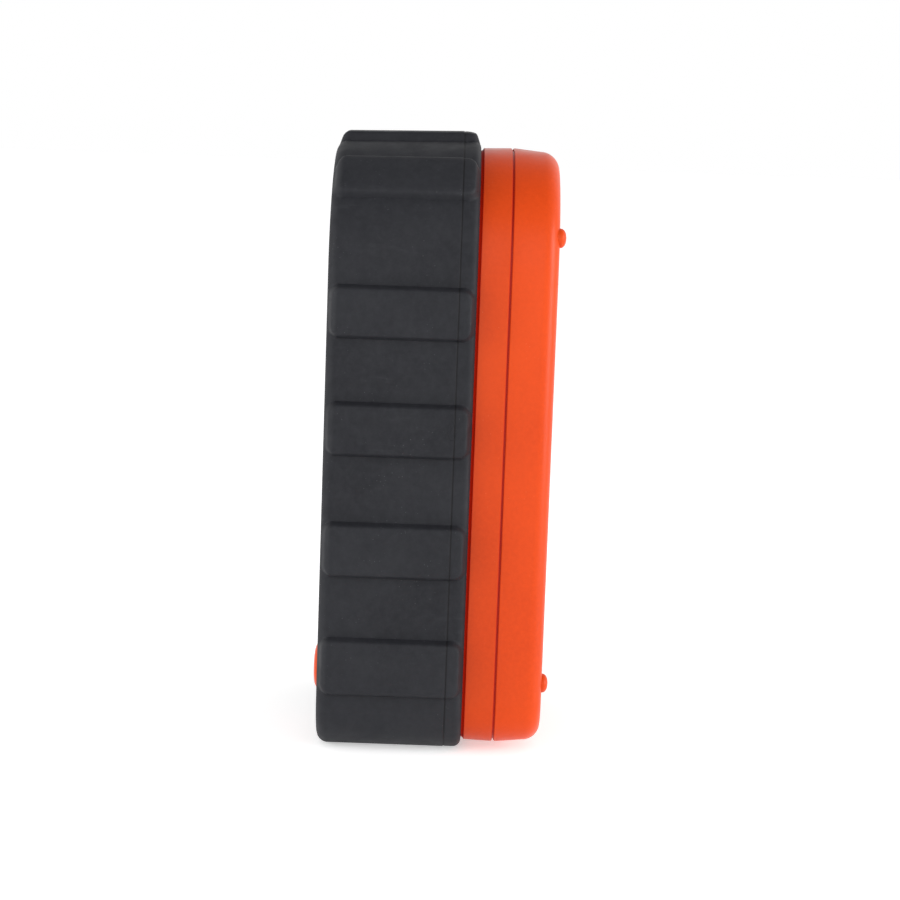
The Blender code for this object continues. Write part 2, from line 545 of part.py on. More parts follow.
# ---- display and boards -------------------------------------------------------------------------
def make_display():
    half_w, half_h = WINDOW_SIZE[0] / 2, WINDOW_SIZE[1] / 2
    window_z = (WINDOW_Z - half_h, WINDOW_Z + half_h)
    box("display_window", (-half_w, half_w), (FACEPLATE[0] + 0.1 * MM, FACEPLATE[1]), window_z, CLEAR)
    box("lcd_glass", (-28 * MM, 28 * MM), (7.0 * MM, 9.0 * MM), (WINDOW_Z - 13 * MM, WINDOW_Z + 13 * MM),
        GREY_KEY)
    box("backlight_panel", (-26 * MM, 26 * MM), (9.3 * MM, 11.3 * MM),
        (WINDOW_Z - 9.4 * MM, WINDOW_Z + 12.6 * MM), WHITE)
    box("contact_strip", (-26 * MM, 26 * MM), (9.3 * MM, 12.7 * MM),
        (WINDOW_Z - 12.6 * MM, WINDOW_Z - 10.4 * MM), DARK_RUBBER)
    frame = box("lcd_frame", (-BOARD_HALF_WIDTH, BOARD_HALF_WIDTH), (6.8 * MM, 12.7 * MM),
                (WINDOW_Z - 15.2 * MM, WINDOW_Z + 15.2 * MM), WHITE)
    inside = box("lcd_frame_opening", (-28.3 * MM, 28.3 * MM), (5 * MM, 14 * MM),
                 (WINDOW_Z - 13.3 * MM, WINDOW_Z + 13.3 * MM), None)
    combine(frame, inside)
    box("display_board", (-BOARD_HALF_WIDTH, BOARD_HALF_WIDTH), DISPLAY_BOARD, (96 * MM, 142 * MM),
        BOARD_GREEN)
    box("board_connector", (-12 * MM, 12 * MM), (DISPLAY_BOARD[1] + GAP, MAIN_BOARD[0] - GAP),
        (114 * MM, 119 * MM), DARK_PANEL)
    membrane = box("keypad_membrane", (-BOARD_HALF_WIDTH, BOARD_HALF_WIDTH), (11.7 * MM, 12.7 * MM),
                   (KEY_Z - 5.4 * MM, KEY_Z + 5.4 * MM), GREY_KEY)
    for index, key_x in enumerate(KEY_XS):
        boss = rod("membrane_boss_%d" % index, (key_x, KEY_Z), (9.3 * MM, 12.2 * MM), 2.0 * MM, None, sides=12)
        combine(membrane, boss, 'UNION')


def make_main_board():
    board = box("main_board", (-BOARD_HALF_WIDTH, BOARD_HALF_WIDTH), MAIN_BOARD, (10 * MM, 140 * MM),
                BOARD_GREEN)
    hole = bmesh.new()
    for post_x in (-20 * MM, 20 * MM):
        add_rod(hole, (post_x, 134 * MM), (MAIN_BOARD[0] - 1 * MM, MAIN_BOARD[1] + 1 * MM), 1.6 * MM, sides=12)
    combine(board, finish_mesh("main_board_holes", hole, None))
    chip_depth = (BEHIND_BOARD, BEHIND_BOARD + 1.8 * MM)
    can_depth = (BEHIND_BOARD, BEHIND_BOARD + 11 * MM)
    buzzer_depth = (BEHIND_BOARD, BEHIND_BOARD + 5.5 * MM)
    box("main_chip", (-7 * MM, 7 * MM), chip_depth, (59 * MM, 73 * MM), DARK_PANEL)
    rod("capacitor_large", (-18 * MM, 66 * MM), can_depth, 5 * MM, DARK_PANEL, sides=20, bevel=0.5 * MM)
    rod("capacitor_small", (17 * MM, 72 * MM), can_depth, 3.2 * MM, DARK_PANEL, sides=20, bevel=0.5 * MM)
    rod("buzzer", (19 * MM, 52 * MM), buzzer_depth, 7 * MM, DARK_PANEL, sides=24, bevel=0.5 * MM)
    box("button_switch", (BUTTON_X - 6.6 * MM, BUTTON_X + 0.4 * MM), (9.5 * MM, MAIN_BOARD[0] - GAP),
        (SOCKET_Z - 3.5 * MM, SOCKET_Z + 3.5 * MM), DARK_PANEL, bevel=0.4 * MM)


def make_shunt():
    """Thick resistance-wire bridge behind the current socket."""
    curve = bpy.data.curves.new("current_shunt", 'CURVE')
    curve.dimensions = '3D'
    curve.bevel_depth = 0.8 * MM
    curve.bevel_resolution = 2
    curve.use_fill_caps = True
    wire = curve.splines.new('POLY')
    span = 7 * MM
    leg = 3.5 * MM
    steps = 8
    route = [(-span, BEHIND_BOARD)]
    for step in range(steps + 1):
        angle = math.pi * step / steps
        route.append((-span * math.cos(angle), BEHIND_BOARD + leg + leg * math.sin(angle)))
    route.append((span, BEHIND_BOARD))
    wire.points.add(len(route) - 1)
    middle_x, middle_z = -18 * MM, 36 * MM
    for point, (across, depth) in zip(wire.points, route):
        point.co = (middle_x + across, y_at(depth), middle_z, 1.0)
    shunt = bpy.data.objects.new("current_shunt", curve)
    PARTS.objects.link(shunt)
    curve.materials.append(material("current_shunt", BRASS))


def make_fuse(name, fuse_x, radius, half_length):
    """Ceramic fuse between two metal caps, held by a U-shaped clip at each end."""
    middle_z = 30 * MM
    axis_depth = MAIN_BOARD[1] + 8 * MM
    barrel = radius - 0.3 * MM
    cap = half_length * 0.66
    profile = [(0.0, -half_length), (radius, -half_length), (radius, -cap), (barrel, -cap), (barrel, cap),
               (radius, cap), (radius, half_length), (0.0, half_length)]
    turned(name, profile, Matrix.Translation((fuse_x, y_at(axis_depth), middle_z)), WHITE, sides=20)
    outside = radius + 1.1 * MM
    for end, sign in (("lower", -1), ("upper", 1)):
        clip_z = middle_z + sign * half_length * 0.84
        clip = box("%s_clip_%s" % (name, end), (fuse_x - outside, fuse_x + outside),
                   (BEHIND_BOARD, axis_depth + radius * 0.6), (clip_z - 2.2 * MM, clip_z + 2.2 * MM), STEEL)
        seat = bmesh.new()
        place = Matrix.Translation((fuse_x, y_at(axis_depth), clip_z))
        bmesh.ops.create_cone(seat, cap_ends=True, segments=20, radius1=radius + GAP, radius2=radius + GAP,
                              depth=8 * MM, matrix=place)
        combine(clip, finish_mesh("%s_seat_%s" % (name, end), seat, None))
        mouth = box("%s_mouth_%s" % (name, end), (fuse_x - radius * 0.7, fuse_x + radius * 0.7),
                    (axis_depth, axis_depth + radius * 2), (clip_z - 4 * MM, clip_z + 4 * MM), None)
        combine(clip, mouth)


def make_fuses():
    make_fuse("main_fuse", -2 * MM, 5.0 * MM, 17 * MM)
    make_fuse("small_fuse", 20 * MM, 2.6 * MM, 10 * MM)


# ---- selector mechanism -------------------------------------------------------------------------
ROTOR_DEPTHS = (20.4 * MM, 23.0 * MM)
ROTOR_RADIUS = 17.5 * MM
WIPER_DEPTHS = (23.2 * MM, 23.6 * MM)
DETENTS = 30
DETENT_RING_RADII = (21.2 * MM, 24.5 * MM)
DETENT_NOTCH = 0.9 * MM
SPRING_RADIUS = 17.9 * MM
SPRING_DEPTHS = (20.8 * MM, 22.6 * MM)


def make_rotor():
    """Disc on the knob's shaft, with two contact wipers under it."""
    bore = SHAFT_RADIUS + GAP
    thick = ROTOR_DEPTHS[1] - ROTOR_DEPTHS[0]
    profile = [(bore, 0.0), (ROTOR_RADIUS, 0.0), (ROTOR_RADIUS, thick), (bore, thick)]
    turned("selector_rotor", profile, facing_back((0.0, DIAL_Z), ROTOR_DEPTHS[0]), WHITE, sides=36,
           origin=Vector((0.0, y_at(ROTOR_DEPTHS[0]), DIAL_Z)))
    for name, sign in (("rotor_wiper_left", -1), ("rotor_wiper_right", 1)):
        x = sorted((sign * 6 * MM, sign * 15 * MM))
        box(name, x, WIPER_DEPTHS, (DIAL_Z - 2 * MM, DIAL_Z + 2 * MM), BRASS)


def make_detent_ring():
    """Fixed ring whose inner face has a shallow notch for each switch position."""
    inner, outer = DETENT_RING_RADII
    front, back = 20.6 * MM, MAIN_BOARD[0] - GAP
    count = 2 * DETENTS
    ring = bmesh.new()
    loops = []
    for depth, is_outer in ((front, False), (front, True), (back, True), (back, False)):
        loop = []
        for step in range(count):
            angle = 2 * math.pi * step / count
            notched = inner if step % 2 else inner - DETENT_NOTCH
            radius = outer if is_outer else notched
            place = (radius * math.cos(angle), y_at(depth), DIAL_Z + radius * math.sin(angle))
            loop.append(ring.verts.new(place))
        loops.append(loop)
    for first, second in zip(loops, loops[1:] + loops[:1]):
        for step in range(count):
            after = (step + 1) % count
            ring.faces.new((first[step], first[after], second[after], second[step]))
    finish_mesh("detent_ring", ring, WHITE)


def make_detent_spring(name, sign):
    """Bowed leaf spring between the rotor and the ring, with a bump that drops into the notches."""
    steps = 10
    thick = 0.4 * MM
    bump = 1.6 * MM
    strip = bmesh.new()
    rows = []
    for step in range(steps + 1):
        share = step / steps
        angle = math.radians(-40 + 80 * share)
        inside = SPRING_RADIUS + bump * math.exp(-((share - 0.5) / 0.12) ** 2)
        corners = ((inside, SPRING_DEPTHS[0]), (inside + thick, SPRING_DEPTHS[0]),
                   (inside + thick, SPRING_DEPTHS[1]), (inside, SPRING_DEPTHS[1]))
        row = []
        for reach, depth in corners:
            place = (sign * reach * math.cos(angle), y_at(depth), DIAL_Z + reach * math.sin(angle))
            row.append(strip.verts.new(place))
        rows.append(row)
    for low, high in zip(rows, rows[1:]):
        for side in range(4):
            after = (side + 1) % 4
            strip.faces.new((low[side], low[after], high[after], high[side]))
    strip.faces.new(rows[0])
    strip.faces.new(rows[-1])
    finish_mesh(name, strip, STEEL)


def make_selector_mechanism():
    make_rotor()
    make_detent_ring()
    make_detent_spring("detent_spring_left", -1)
    make_detent_spring("detent_spring_right", 1)


# ---- sockets ------------------------------------------------------------------------------------
def make_sockets():
    """Three sockets: an insulating shroud with a floor, and a brass sleeve standing in it."""
    bore = SLEEVE_RADII[0] + GAP
    mouth, floor, back = SHROUD_DEPTHS
    shroud = [(SOCKET_WELL_RADIUS, mouth), (SHROUD_RADIUS, mouth), (SHROUD_RADIUS, back), (bore, back),
              (bore, floor), (SOCKET_WELL_RADIUS, floor)]
    outer, inner = SLEEVE_RADII
    end = MAIN_BOARD[0] - GAP
    sleeve = [(inner, SLEEVE_FRONT), (outer, SLEEVE_FRONT), (outer, end), (inner, end)]
    for name, socket_x in zip(("current_socket", "common_socket", "voltage_socket"), SOCKET_XS):
        place = facing_back((socket_x, SOCKET_Z), 0.0)
        turned(name + "_shroud", shroud, place, DARK_PANEL, sides=24)
        turned(name + "_sleeve", sleeve, place, BRASS, sides=20)


# ---- power --------------------------------------------------------------------------------------
def make_battery():
    half = 2 * CELL_PITCH
    wall = 1.2 * MM
    tray_z = (CELL_Z - 2.2 * MM, CELL_Z + CELL_LENGTH + 2.4 * MM)
    depth = (CELL_DEPTH - CELL_RADIUS - GAP - wall, CELL_DEPTH + 3 * MM)
    tray = box("battery_tray", (-half + 0.6 * MM, half - 0.6 * MM), depth, (tray_z[0] - wall, tray_z[1] + wall),
               DARK_PANEL)
    hollow = box("tray_hollow", (-half + 1.8 * MM, half - 1.8 * MM), (depth[0] + wall, depth[1] + 5 * MM),
                 tray_z, None)
    combine(tray, hollow)
    for number in range(4):
        cell_x = (number - 1.5) * (CELL_PITCH - 1.0 * MM)
        upright = number % 2 == 0
        base = CELL_Z if upright else CELL_Z + CELL_LENGTH
        place = Matrix.Translation((cell_x, y_at(CELL_DEPTH), base))
        if not upright:
            place = place @ Matrix.Rotation(math.pi, 4, 'X')
        radius = CELL_RADIUS - 0.4 * MM
        shoulder = CELL_LENGTH - 1.4 * MM
        profile = [(0.0, 0.0), (radius, 0.0), (radius, shoulder), (2.6 * MM, shoulder), (2.6 * MM, CELL_LENGTH),
                   (0.0, CELL_LENGTH)]
        turned("battery_cell_%d" % (number + 1), profile, place, GREY_KEY, sides=20)
    strip_depth = (CELL_DEPTH - 4 * MM, CELL_DEPTH + 4 * MM)
    for name, strip_z in (("battery_contact_lower", (tray_z[0] + GAP, tray_z[0] + 0.9 * MM)),
                          ("battery_contact_upper", (tray_z[1] - 0.9 * MM, tray_z[1] - GAP))):
        box(name, (-half + 3 * MM, half - 3 * MM), strip_depth, strip_z, STEEL)


# ---- fasteners ----------------------------------------------------------------------------------
def make_screw(name, centre, head_depth, length, head_radius, shank_radius):
    """Pan-head screw driven from behind: head towards +Y."""
    profile = [(0.0, 0.0), (shank_radius, 0.0), (shank_radius, length), (head_radius, length),
               (head_radius * 0.96, length + 1.0 * MM), (head_radius * 0.6, length + 1.5 * MM),
               (0.0, length + 1.6 * MM)]
    turned(name, profile, facing_back(centre, head_depth - length), STEEL, sides=16)


def make_screws():
    number = 0
    for side in (-1, 1):
        for post_x, post_z in SCREW_POSTS:
            number += 1
            make_screw("housing_screw_%d" % number, (side * post_x, post_z), REAR_DEPTH - 4.3 * MM, 17 * MM,
                       2.8 * MM, 1.35 * MM)
    make_screw("battery_door_screw", (0.0, DOOR_SCREW_Z), REAR_DEPTH - 0.5 * MM, 5 * MM, 2.4 * MM, 1.15 * MM)


make_bumper()
make_front_shell()
make_rear_shell()
make_faceplate()
make_seal()
make_battery_door()
make_stand()
make_knob()
make_keys()
make_button()
make_display()
make_main_board()
make_shunt()
make_fuses()
make_selector_mechanism()
make_sockets()
make_battery()
make_screws()
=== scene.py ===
"""Looks of the hand-held digital multimeter: fine surfaces, materials, light and camera.

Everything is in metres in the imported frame: +Z up, the front faces -Y. "Depth" is the distance
behind the front plane of the rubber bumper, as in the CAD model.
"""
import json
import math

import bmesh
import bpy
from mathutils import Matrix, Vector


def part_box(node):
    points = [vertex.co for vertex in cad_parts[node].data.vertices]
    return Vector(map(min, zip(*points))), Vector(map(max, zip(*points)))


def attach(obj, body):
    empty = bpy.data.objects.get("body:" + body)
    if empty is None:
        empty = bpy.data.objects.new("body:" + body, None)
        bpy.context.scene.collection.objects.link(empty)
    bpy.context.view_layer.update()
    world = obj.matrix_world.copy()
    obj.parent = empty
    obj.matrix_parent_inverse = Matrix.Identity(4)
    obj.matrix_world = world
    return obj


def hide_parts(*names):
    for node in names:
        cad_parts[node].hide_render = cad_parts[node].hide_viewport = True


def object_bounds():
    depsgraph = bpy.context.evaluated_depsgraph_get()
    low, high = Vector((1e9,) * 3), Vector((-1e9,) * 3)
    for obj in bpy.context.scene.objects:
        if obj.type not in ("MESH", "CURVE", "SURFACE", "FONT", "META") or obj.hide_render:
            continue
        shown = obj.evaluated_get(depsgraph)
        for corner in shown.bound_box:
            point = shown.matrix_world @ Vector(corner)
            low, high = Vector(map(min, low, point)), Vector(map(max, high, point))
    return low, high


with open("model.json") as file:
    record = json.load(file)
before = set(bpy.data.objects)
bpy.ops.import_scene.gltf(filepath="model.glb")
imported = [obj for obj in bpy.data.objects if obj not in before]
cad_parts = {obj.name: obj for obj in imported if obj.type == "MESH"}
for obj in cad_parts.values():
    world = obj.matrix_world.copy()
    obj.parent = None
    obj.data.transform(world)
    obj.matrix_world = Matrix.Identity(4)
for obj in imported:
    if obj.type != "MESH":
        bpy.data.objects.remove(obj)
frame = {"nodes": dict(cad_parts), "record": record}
CAD_LOW, CAD_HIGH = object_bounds()

MM = 0.001

# ---- sizes taken from the frame ----
BUMPER_LOW, BUMPER_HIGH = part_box("rubber_bumper")
FRONT_Y = BUMPER_LOW.y
BUMPER_DEPTH = BUMPER_HIGH.y - BUMPER_LOW.y
RIB_HEIGHT = 2.4 * MM
HALF_WIDTH = BUMPER_HIGH.x - RIB_HEIGHT
BODY_TOP = 157.9 * MM
BOTTOM_CORNER = 14.0 * MM
TOP_CORNER = 32.0 * MM
TOP_ARCH = 240.0 * MM
TOP_DRAFT = 0.026
SIDE_RIBS = ((15.7 * MM, 30.9 * MM), (46.4 * MM, 60.8 * MM), (77.5 * MM, 91.5 * MM), (107.3 * MM, 121.0 * MM))
CORNER_RIB = (math.radians(32.0), math.radians(56.2))
TOP_RIB_HALF = 13.5 * MM
BUMPER_WALL = 3.0 * MM
LIP_DEPTH = 3.7 * MM
LIP_WIDTH = 7.0 * MM
SHELL_DROP = 1.8 * MM
REAR_LOW, REAR_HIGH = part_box("rear_shell")
PARTING_DEPTH = 45.8 * MM
SEAM_DEPTH = 33.2 * MM
REAR_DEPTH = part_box("battery_door")[1].y - FRONT_Y
GAP = 0.3 * MM


def y_at(depth):
    return FRONT_Y + depth


def node_middle(name):
    low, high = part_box(name)
    return (low + high) / 2


def place_of(name):
    """(x, z) of a node's middle, seen from the front."""
    middle = node_middle(name)
    return middle.x, middle.z


def depths_of(name):
    """A node's front and back, as depths."""
    return tuple(corner.y - FRONT_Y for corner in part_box(name))


def quarter_turn(steps, first=0):
    """Angles in equal steps up to 90 degrees."""
    return [math.radians(90 * step / steps) for step in range(first, steps + 1)]


# ---- node materials ----
class Look:
    """A Principled material whose colour, roughness and bump come from object-space noise."""

    def __init__(self, name):
        self.material = bpy.data.materials.new(name)
        self.material.use_nodes = True
        self.tree = self.material.node_tree
        self.shader = self.tree.nodes["Principled BSDF"]
        self.place = self.tree.nodes.new("ShaderNodeTexCoord").outputs["Object"]
        self.height = None

    def feed(self, socket, value):
        """Link an output to a socket, or set the socket to a constant."""
        if isinstance(value, bpy.types.NodeSocket):
            self.tree.links.new(value, socket)
        elif isinstance(value, tuple) and len(value) < len(socket.default_value):
            socket.default_value = (*value, 1.0)
        else:
            socket.default_value = value

    def new(self, kind, inputs, **settings):
        """A node with its settings, and its inputs fed by name or number."""
        node = self.tree.nodes.new(kind)
        for key, value in settings.items():
            setattr(node, key, value)
        for key, value in inputs.items():
            self.feed(node.inputs[key], value)
        return node

    def noise(self, scale, detail=3.0, roughness=0.5, stretch=(1, 1, 1)):
        mapping = self.new("ShaderNodeMapping", {"Vector": self.place, "Scale": stretch})
        return self.new("ShaderNodeTexNoise", {
            "Vector": mapping.outputs["Vector"], "Scale": scale, "Detail": detail, "Roughness": roughness,
        }).outputs["Fac"]

    def spots(self, scale, size, soft=0.35):
        """Small scattered specks, 1 inside a speck."""
        node = self.new("ShaderNodeTexVoronoi", {"Vector": self.place, "Scale": scale})
        return self.ramp(node.outputs["Distance"], (size * (1 - soft), size), (1.0, 0.0))

    def ramp(self, source, stops, values):
        """Map source between two positions to two grey values or colours."""
        node = self.new("ShaderNodeValToRGB", {"Fac": source})
        for element, stop, value in zip(node.color_ramp.elements, stops, values):
            element.position = stop
            element.color = (value, value, value, 1.0) if isinstance(value, float) else (*value, 1.0)
        return node.outputs["Color"]

    def mix(self, share, first, second):
        return self.new("ShaderNodeMix", {0: share, 6: first, 7: second}, data_type='RGBA').outputs[2]

    def math(self, operation, first, second=0.0):
        return self.new("ShaderNodeMath", {0: first, 1: second}, operation=operation).outputs[0]

    def band(self, depth, core, reach, strength):
        """Strength near one depth behind the front face, fading out between two distances in mm."""
        split = self.new("ShaderNodeSeparateXYZ", {"Vector": self.place})
        away = self.math('ABSOLUTE', self.math('SUBTRACT', split.outputs["Y"], FRONT_Y + depth))
        return self.ramp(self.math('DIVIDE', away, 1.0 * MM), (core, reach), (strength, 0.0))

    def colour(self, value):
        self.feed(self.shader.inputs["Base Color"], value)

    def rough(self, low, high, source):
        self.feed(self.shader.inputs["Roughness"], self.ramp(source, (0.3, 0.7), (low, high)))

    def bump(self, source, distance, strength):
        inputs = {"Height": source, "Distance": distance, "Strength": strength}
        if self.height is not None:
            inputs["Normal"] = self.height
        self.height = self.new("ShaderNodeBump", inputs).outputs["Normal"]
        self.feed(self.shader.inputs["Normal"], self.height)

    def set(self, **values):
        for key, value in values.items():
            self.shader.inputs[key.replace("_", " ")].default_value = value
        return self


def rubber_look():
    """Moulded black rubber: matte, slightly bluish, with fine grain, pale dust, rubbed patches and painted
    shade along the mould seam.
    """
    look = Look("bumper_rubber_fine")
    patches = look.ramp(look.noise(38.0, 4.0, 0.6), (0.35, 0.72),
                        ((0.0120, 0.0125, 0.0155), (0.0185, 0.0192, 0.0228)))
    scuffs = look.ramp(look.noise(95.0, 5.0, 0.7, (1.0, 0.35, 1.6)), (0.62, 0.8), (0.0, 0.35))
    base = look.mix(scuffs, patches, (0.045, 0.047, 0.053))
    blotches = look.ramp(look.noise(420.0, 4.0, 0.75), (0.38, 0.7), (0.0, 0.3))
    base = look.mix(blotches, base, (0.030, 0.031, 0.036))
    dust = look.math('MULTIPLY', look.spots(900.0, 0.1), look.ramp(look.noise(120.0), (0.5, 0.6), (0.0, 0.5)))
    base = look.mix(dust, base, (0.10, 0.103, 0.11))
    # painted shade: a narrow near-black band along the mould seam crease, standing in for the shadow inside
    # it
    look.colour(look.mix(look.band(SEAM_DEPTH, 0.08, 0.3, 0.85), base, (0.006, 0.006, 0.007)))
    look.rough(0.5, 0.66, look.noise(160.0, 3.0))
    look.bump(look.noise(2600.0, 2.0), 0.02 * MM, 0.5)
    look.bump(look.noise(140.0, 3.0), 0.05 * MM, 0.35)
    return look.set(Specular_IOR_Level=0.16).material


def orange_look(name="orange_plastic_fine", shade=1.0, bumper_groove_shade=False):
    """Satin moulded plastic with spark-eroded grain, faint flow shading, and painted shade of darker red
    along the parting line and, when asked, in the groove beside the bumper.
    """
    look = Look(name)
    dark = tuple(channel * shade for channel in (0.545, 0.046, 0.0030))
    light = tuple(channel * shade for channel in (0.605, 0.056, 0.0042))
    base = look.ramp(look.noise(26.0, 3.0), (0.35, 0.7), (dark, light))
    flecks = look.ramp(look.noise(900.0, 3.0, 0.7), (0.36, 0.68), (0.0, 0.35))
    base = look.mix(flecks, base, tuple(channel * 1.12 for channel in light))
    stained = look.ramp(look.noise(75.0), (0.52, 0.6), (0.0, 0.35))
    grime = look.math('MULTIPLY', look.spots(800.0, 0.09), stained)
    base = look.mix(grime, base, (0.70, 0.22, 0.12))
    # painted shade: darker red in the groove at the bumper's rear edge, standing in for the shadow under that
    # edge
    if bumper_groove_shade:
        base = look.mix(look.band(BUMPER_DEPTH + 0.25 * MM, 0.45, 0.75, 0.9), base, (0.52, 0.009, 0.002))
    # painted shade: darker red along the parting line between the shells, standing in for the shadow in the
    # gap
    look.colour(look.mix(look.band(PARTING_DEPTH + 0.15 * MM, 0.15, 0.45, 0.9), base, (0.45, 0.009, 0.003)))
    look.rough(0.30, 0.38, look.noise(210.0, 3.0))
    look.bump(look.noise(2100.0, 2.0), 0.012 * MM, 0.6)
    look.bump(look.noise(60.0, 2.0), 0.04 * MM, 0.25)
    return look.set(Specular_IOR_Level=0.17).material


def plain_look(name, dark, light, roughness, scale=300.0, grain=1800.0, depth=0.015 * MM, **values):
    """Two close colours over noise, with grain in the surface and in the gloss."""
    look = Look(name)
    look.colour(look.ramp(look.noise(scale, 3.0), (0.35, 0.68), (dark, light)))
    look.rough(*roughness, look.noise(scale * 1.7, 3.0))
    look.bump(look.noise(grain, 2.0), depth, 0.5)
    return look.set(**values).material


def brushed_look(name, dark, light, roughness):
    """Metal with drawn lines along one axis."""
    look = Look(name)
    lines = look.noise(260.0, 4.0, 0.6, (1, 1, 40))
    look.colour(look.ramp(lines, (0.3, 0.7), (dark, light)))
    look.rough(*roughness, lines)
    look.bump(lines, 0.01 * MM, 0.4)
    return look.set(Metallic=1.0).material


def board_look():
    """Green solder mask over copper tracks and plated holes."""
    look = Look("board_fine")
    mapping = look.new("ShaderNodeMapping", {"Vector": look.place, "Rotation": (math.radians(90), 0, 0)})
    bricks = look.new("ShaderNodeTexBrick", {
        "Vector": mapping.outputs["Vector"], "Scale": 160.0, "Mortar Size": 0.035,
        "Color1": (0.008, 0.10, 0.042), "Color2": (0.010, 0.12, 0.050), "Mortar": (0.03, 0.24, 0.11)})
    pads = look.spots(210.0, 0.2, 0.2)
    look.colour(look.mix(look.math('MULTIPLY', pads, 0.8), bricks.outputs["Color"], (0.75, 0.72, 0.66)))
    look.rough(0.25, 0.4, look.noise(300.0))
    look.bump(bricks.outputs["Fac"], 0.03 * MM, 0.5)
    return look.material


def window_look():
    """Clear hard-coated lens with faint wipe marks."""
    look = Look("window_fine")
    smears = look.noise(45.0, 4.0, 0.6, (1.0, 1.0, 2.5))
    look.colour(look.ramp(smears, (0.4, 0.7), ((0.93, 0.95, 0.95), (0.98, 0.99, 0.99))))
    look.rough(0.03, 0.09, smears)
    return look.set(Transmission_Weight=1.0, IOR=1.45, Specular_IOR_Level=0.5).material


def display_look():
    """Grey-green reflective display with a faint pixel weave."""
    look = Look("display_fine")
    look.colour(look.ramp(look.noise(70.0, 2.0), (0.35, 0.7), ((0.37, 0.41, 0.33), (0.43, 0.47, 0.38))))
    look.rough(0.28, 0.4, look.noise(240.0))
    look.bump(look.noise(3200.0, 1.0), 0.004 * MM, 0.3)
    return look.material


RUBBER = rubber_look()
SEAM_RUBBER = plain_look("seam_rubber_fine", (0.008, 0.008, 0.010), (0.015, 0.015, 0.018), (0.5, 0.65), 300.0,
                         Specular_IOR_Level=0.16)
ORANGE = orange_look()
# painted shade: the front shell takes a copy of the orange at 0.87 brightness, standing in for its side
# catching less light, plus the painted groove shade
SHADED_FRONT_ORANGE = orange_look("front_orange_painted_shade_fine", 0.87, True)
BUTTON_ORANGE = orange_look("button_orange_fine", 1.02)
PANEL = plain_look("panel_fine", (0.026, 0.027, 0.030), (0.038, 0.039, 0.043),
                   (0.42, 0.55), 60.0, 2400.0, 0.02 * MM)
KNOB = plain_look("knob_fine", (0.020, 0.021, 0.023), (0.032, 0.033, 0.036),
                  (0.36, 0.5), 80.0, 2600.0, 0.02 * MM)
KEY = plain_look("key_fine", (0.22, 0.225, 0.235), (0.28, 0.285, 0.295),
                 (0.5, 0.62), 120.0, 2200.0, 0.02 * MM)
INK = plain_look("ink_fine", (0.72, 0.73, 0.74), (0.82, 0.83, 0.83), (0.45, 0.6), 400.0, 2600.0, 0.004 * MM)
RED_RING = plain_look("red_ring_fine", (0.42, 0.012, 0.01), (0.52, 0.02, 0.015), (0.38, 0.5), 160.0)
SEGMENT = plain_look("segment_fine", (0.012, 0.013, 0.012), (0.024, 0.026, 0.023), (0.3, 0.4), 400.0)
BLACK_PART = plain_look("component_fine", (0.014, 0.014, 0.015), (0.026, 0.026, 0.028), (0.4, 0.55), 200.0)
WHITE_PART = plain_look("white_plastic_fine", (0.66, 0.66, 0.63), (0.78, 0.78, 0.75), (0.4, 0.52), 160.0)
SOFT_BLACK = plain_look("soft_black_fine", (0.011, 0.011, 0.012), (0.02, 0.02, 0.021), (0.6, 0.75), 220.0)
CERAMIC = plain_look("fuse_fine", (0.70, 0.68, 0.62), (0.82, 0.80, 0.74), (0.35, 0.5), 260.0)
JACKET = plain_look("jacket_fine", (0.20, 0.21, 0.23), (0.30, 0.31, 0.33), (0.25, 0.38), 90.0, Metallic=0.4)
STEEL = brushed_look("steel_fine", (0.46, 0.46, 0.48), (0.64, 0.64, 0.66), (0.24, 0.42))
BRASS = brushed_look("brass_fine", (0.62, 0.42, 0.16), (0.80, 0.58, 0.27), (0.2, 0.36))
BOARD = board_look()
WINDOW = window_look()
DISPLAY = display_look()

NODE_LOOKS = {
    "bumper_rubber": RUBBER, "orange_plastic": ORANGE, "panel_plastic": PANEL, "window_clear": WINDOW,
    "key_grey": KEY, "display_glass": DISPLAY, "board_green": BOARD, "component_black": BLACK_PART,
    "white_plastic": WHITE_PART, "soft_black": SOFT_BLACK, "fuse_ceramic": CERAMIC, "cell_jacket": JACKET,
    "steel": STEEL, "brass": BRASS,
}


def dress_cad_nodes():
    """Every CAD node takes the fine material of its slot."""
    slots = {part["node"]: part["material_slot"] for part in frame["record"]["subparts"]}
    for name, node in frame["nodes"].items():
        node.data.materials.clear()
        node.data.materials.append(NODE_LOOKS[slots[name]])


# ---- mesh helpers ----
def add_object(name, data):
    """A new object in the scene."""
    made = bpy.data.objects.new(name, data)
    bpy.context.scene.collection.objects.link(made)
    return made


def as_object(name, form):
    """A bmesh as an object in the scene, with its faces turned outwards."""
    bmesh.ops.recalc_face_normals(form, faces=form.faces)
    mesh = bpy.data.meshes.new(name)
    form.to_mesh(mesh)
    form.free()
    return add_object(name, mesh)


def piece(name, form, look, body, replaced=(), sharp=32.0):
    """A finished piece from a bmesh: smooth shaded, with a look, riding on a body."""
    made = as_object(name, form)
    made.data.shade_smooth()
    made.data.set_sharp_from_angle(angle=math.radians(sharp))
    made.data.materials.append(look)
    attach(made, body)
    if replaced:
        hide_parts(*replaced)
    return made


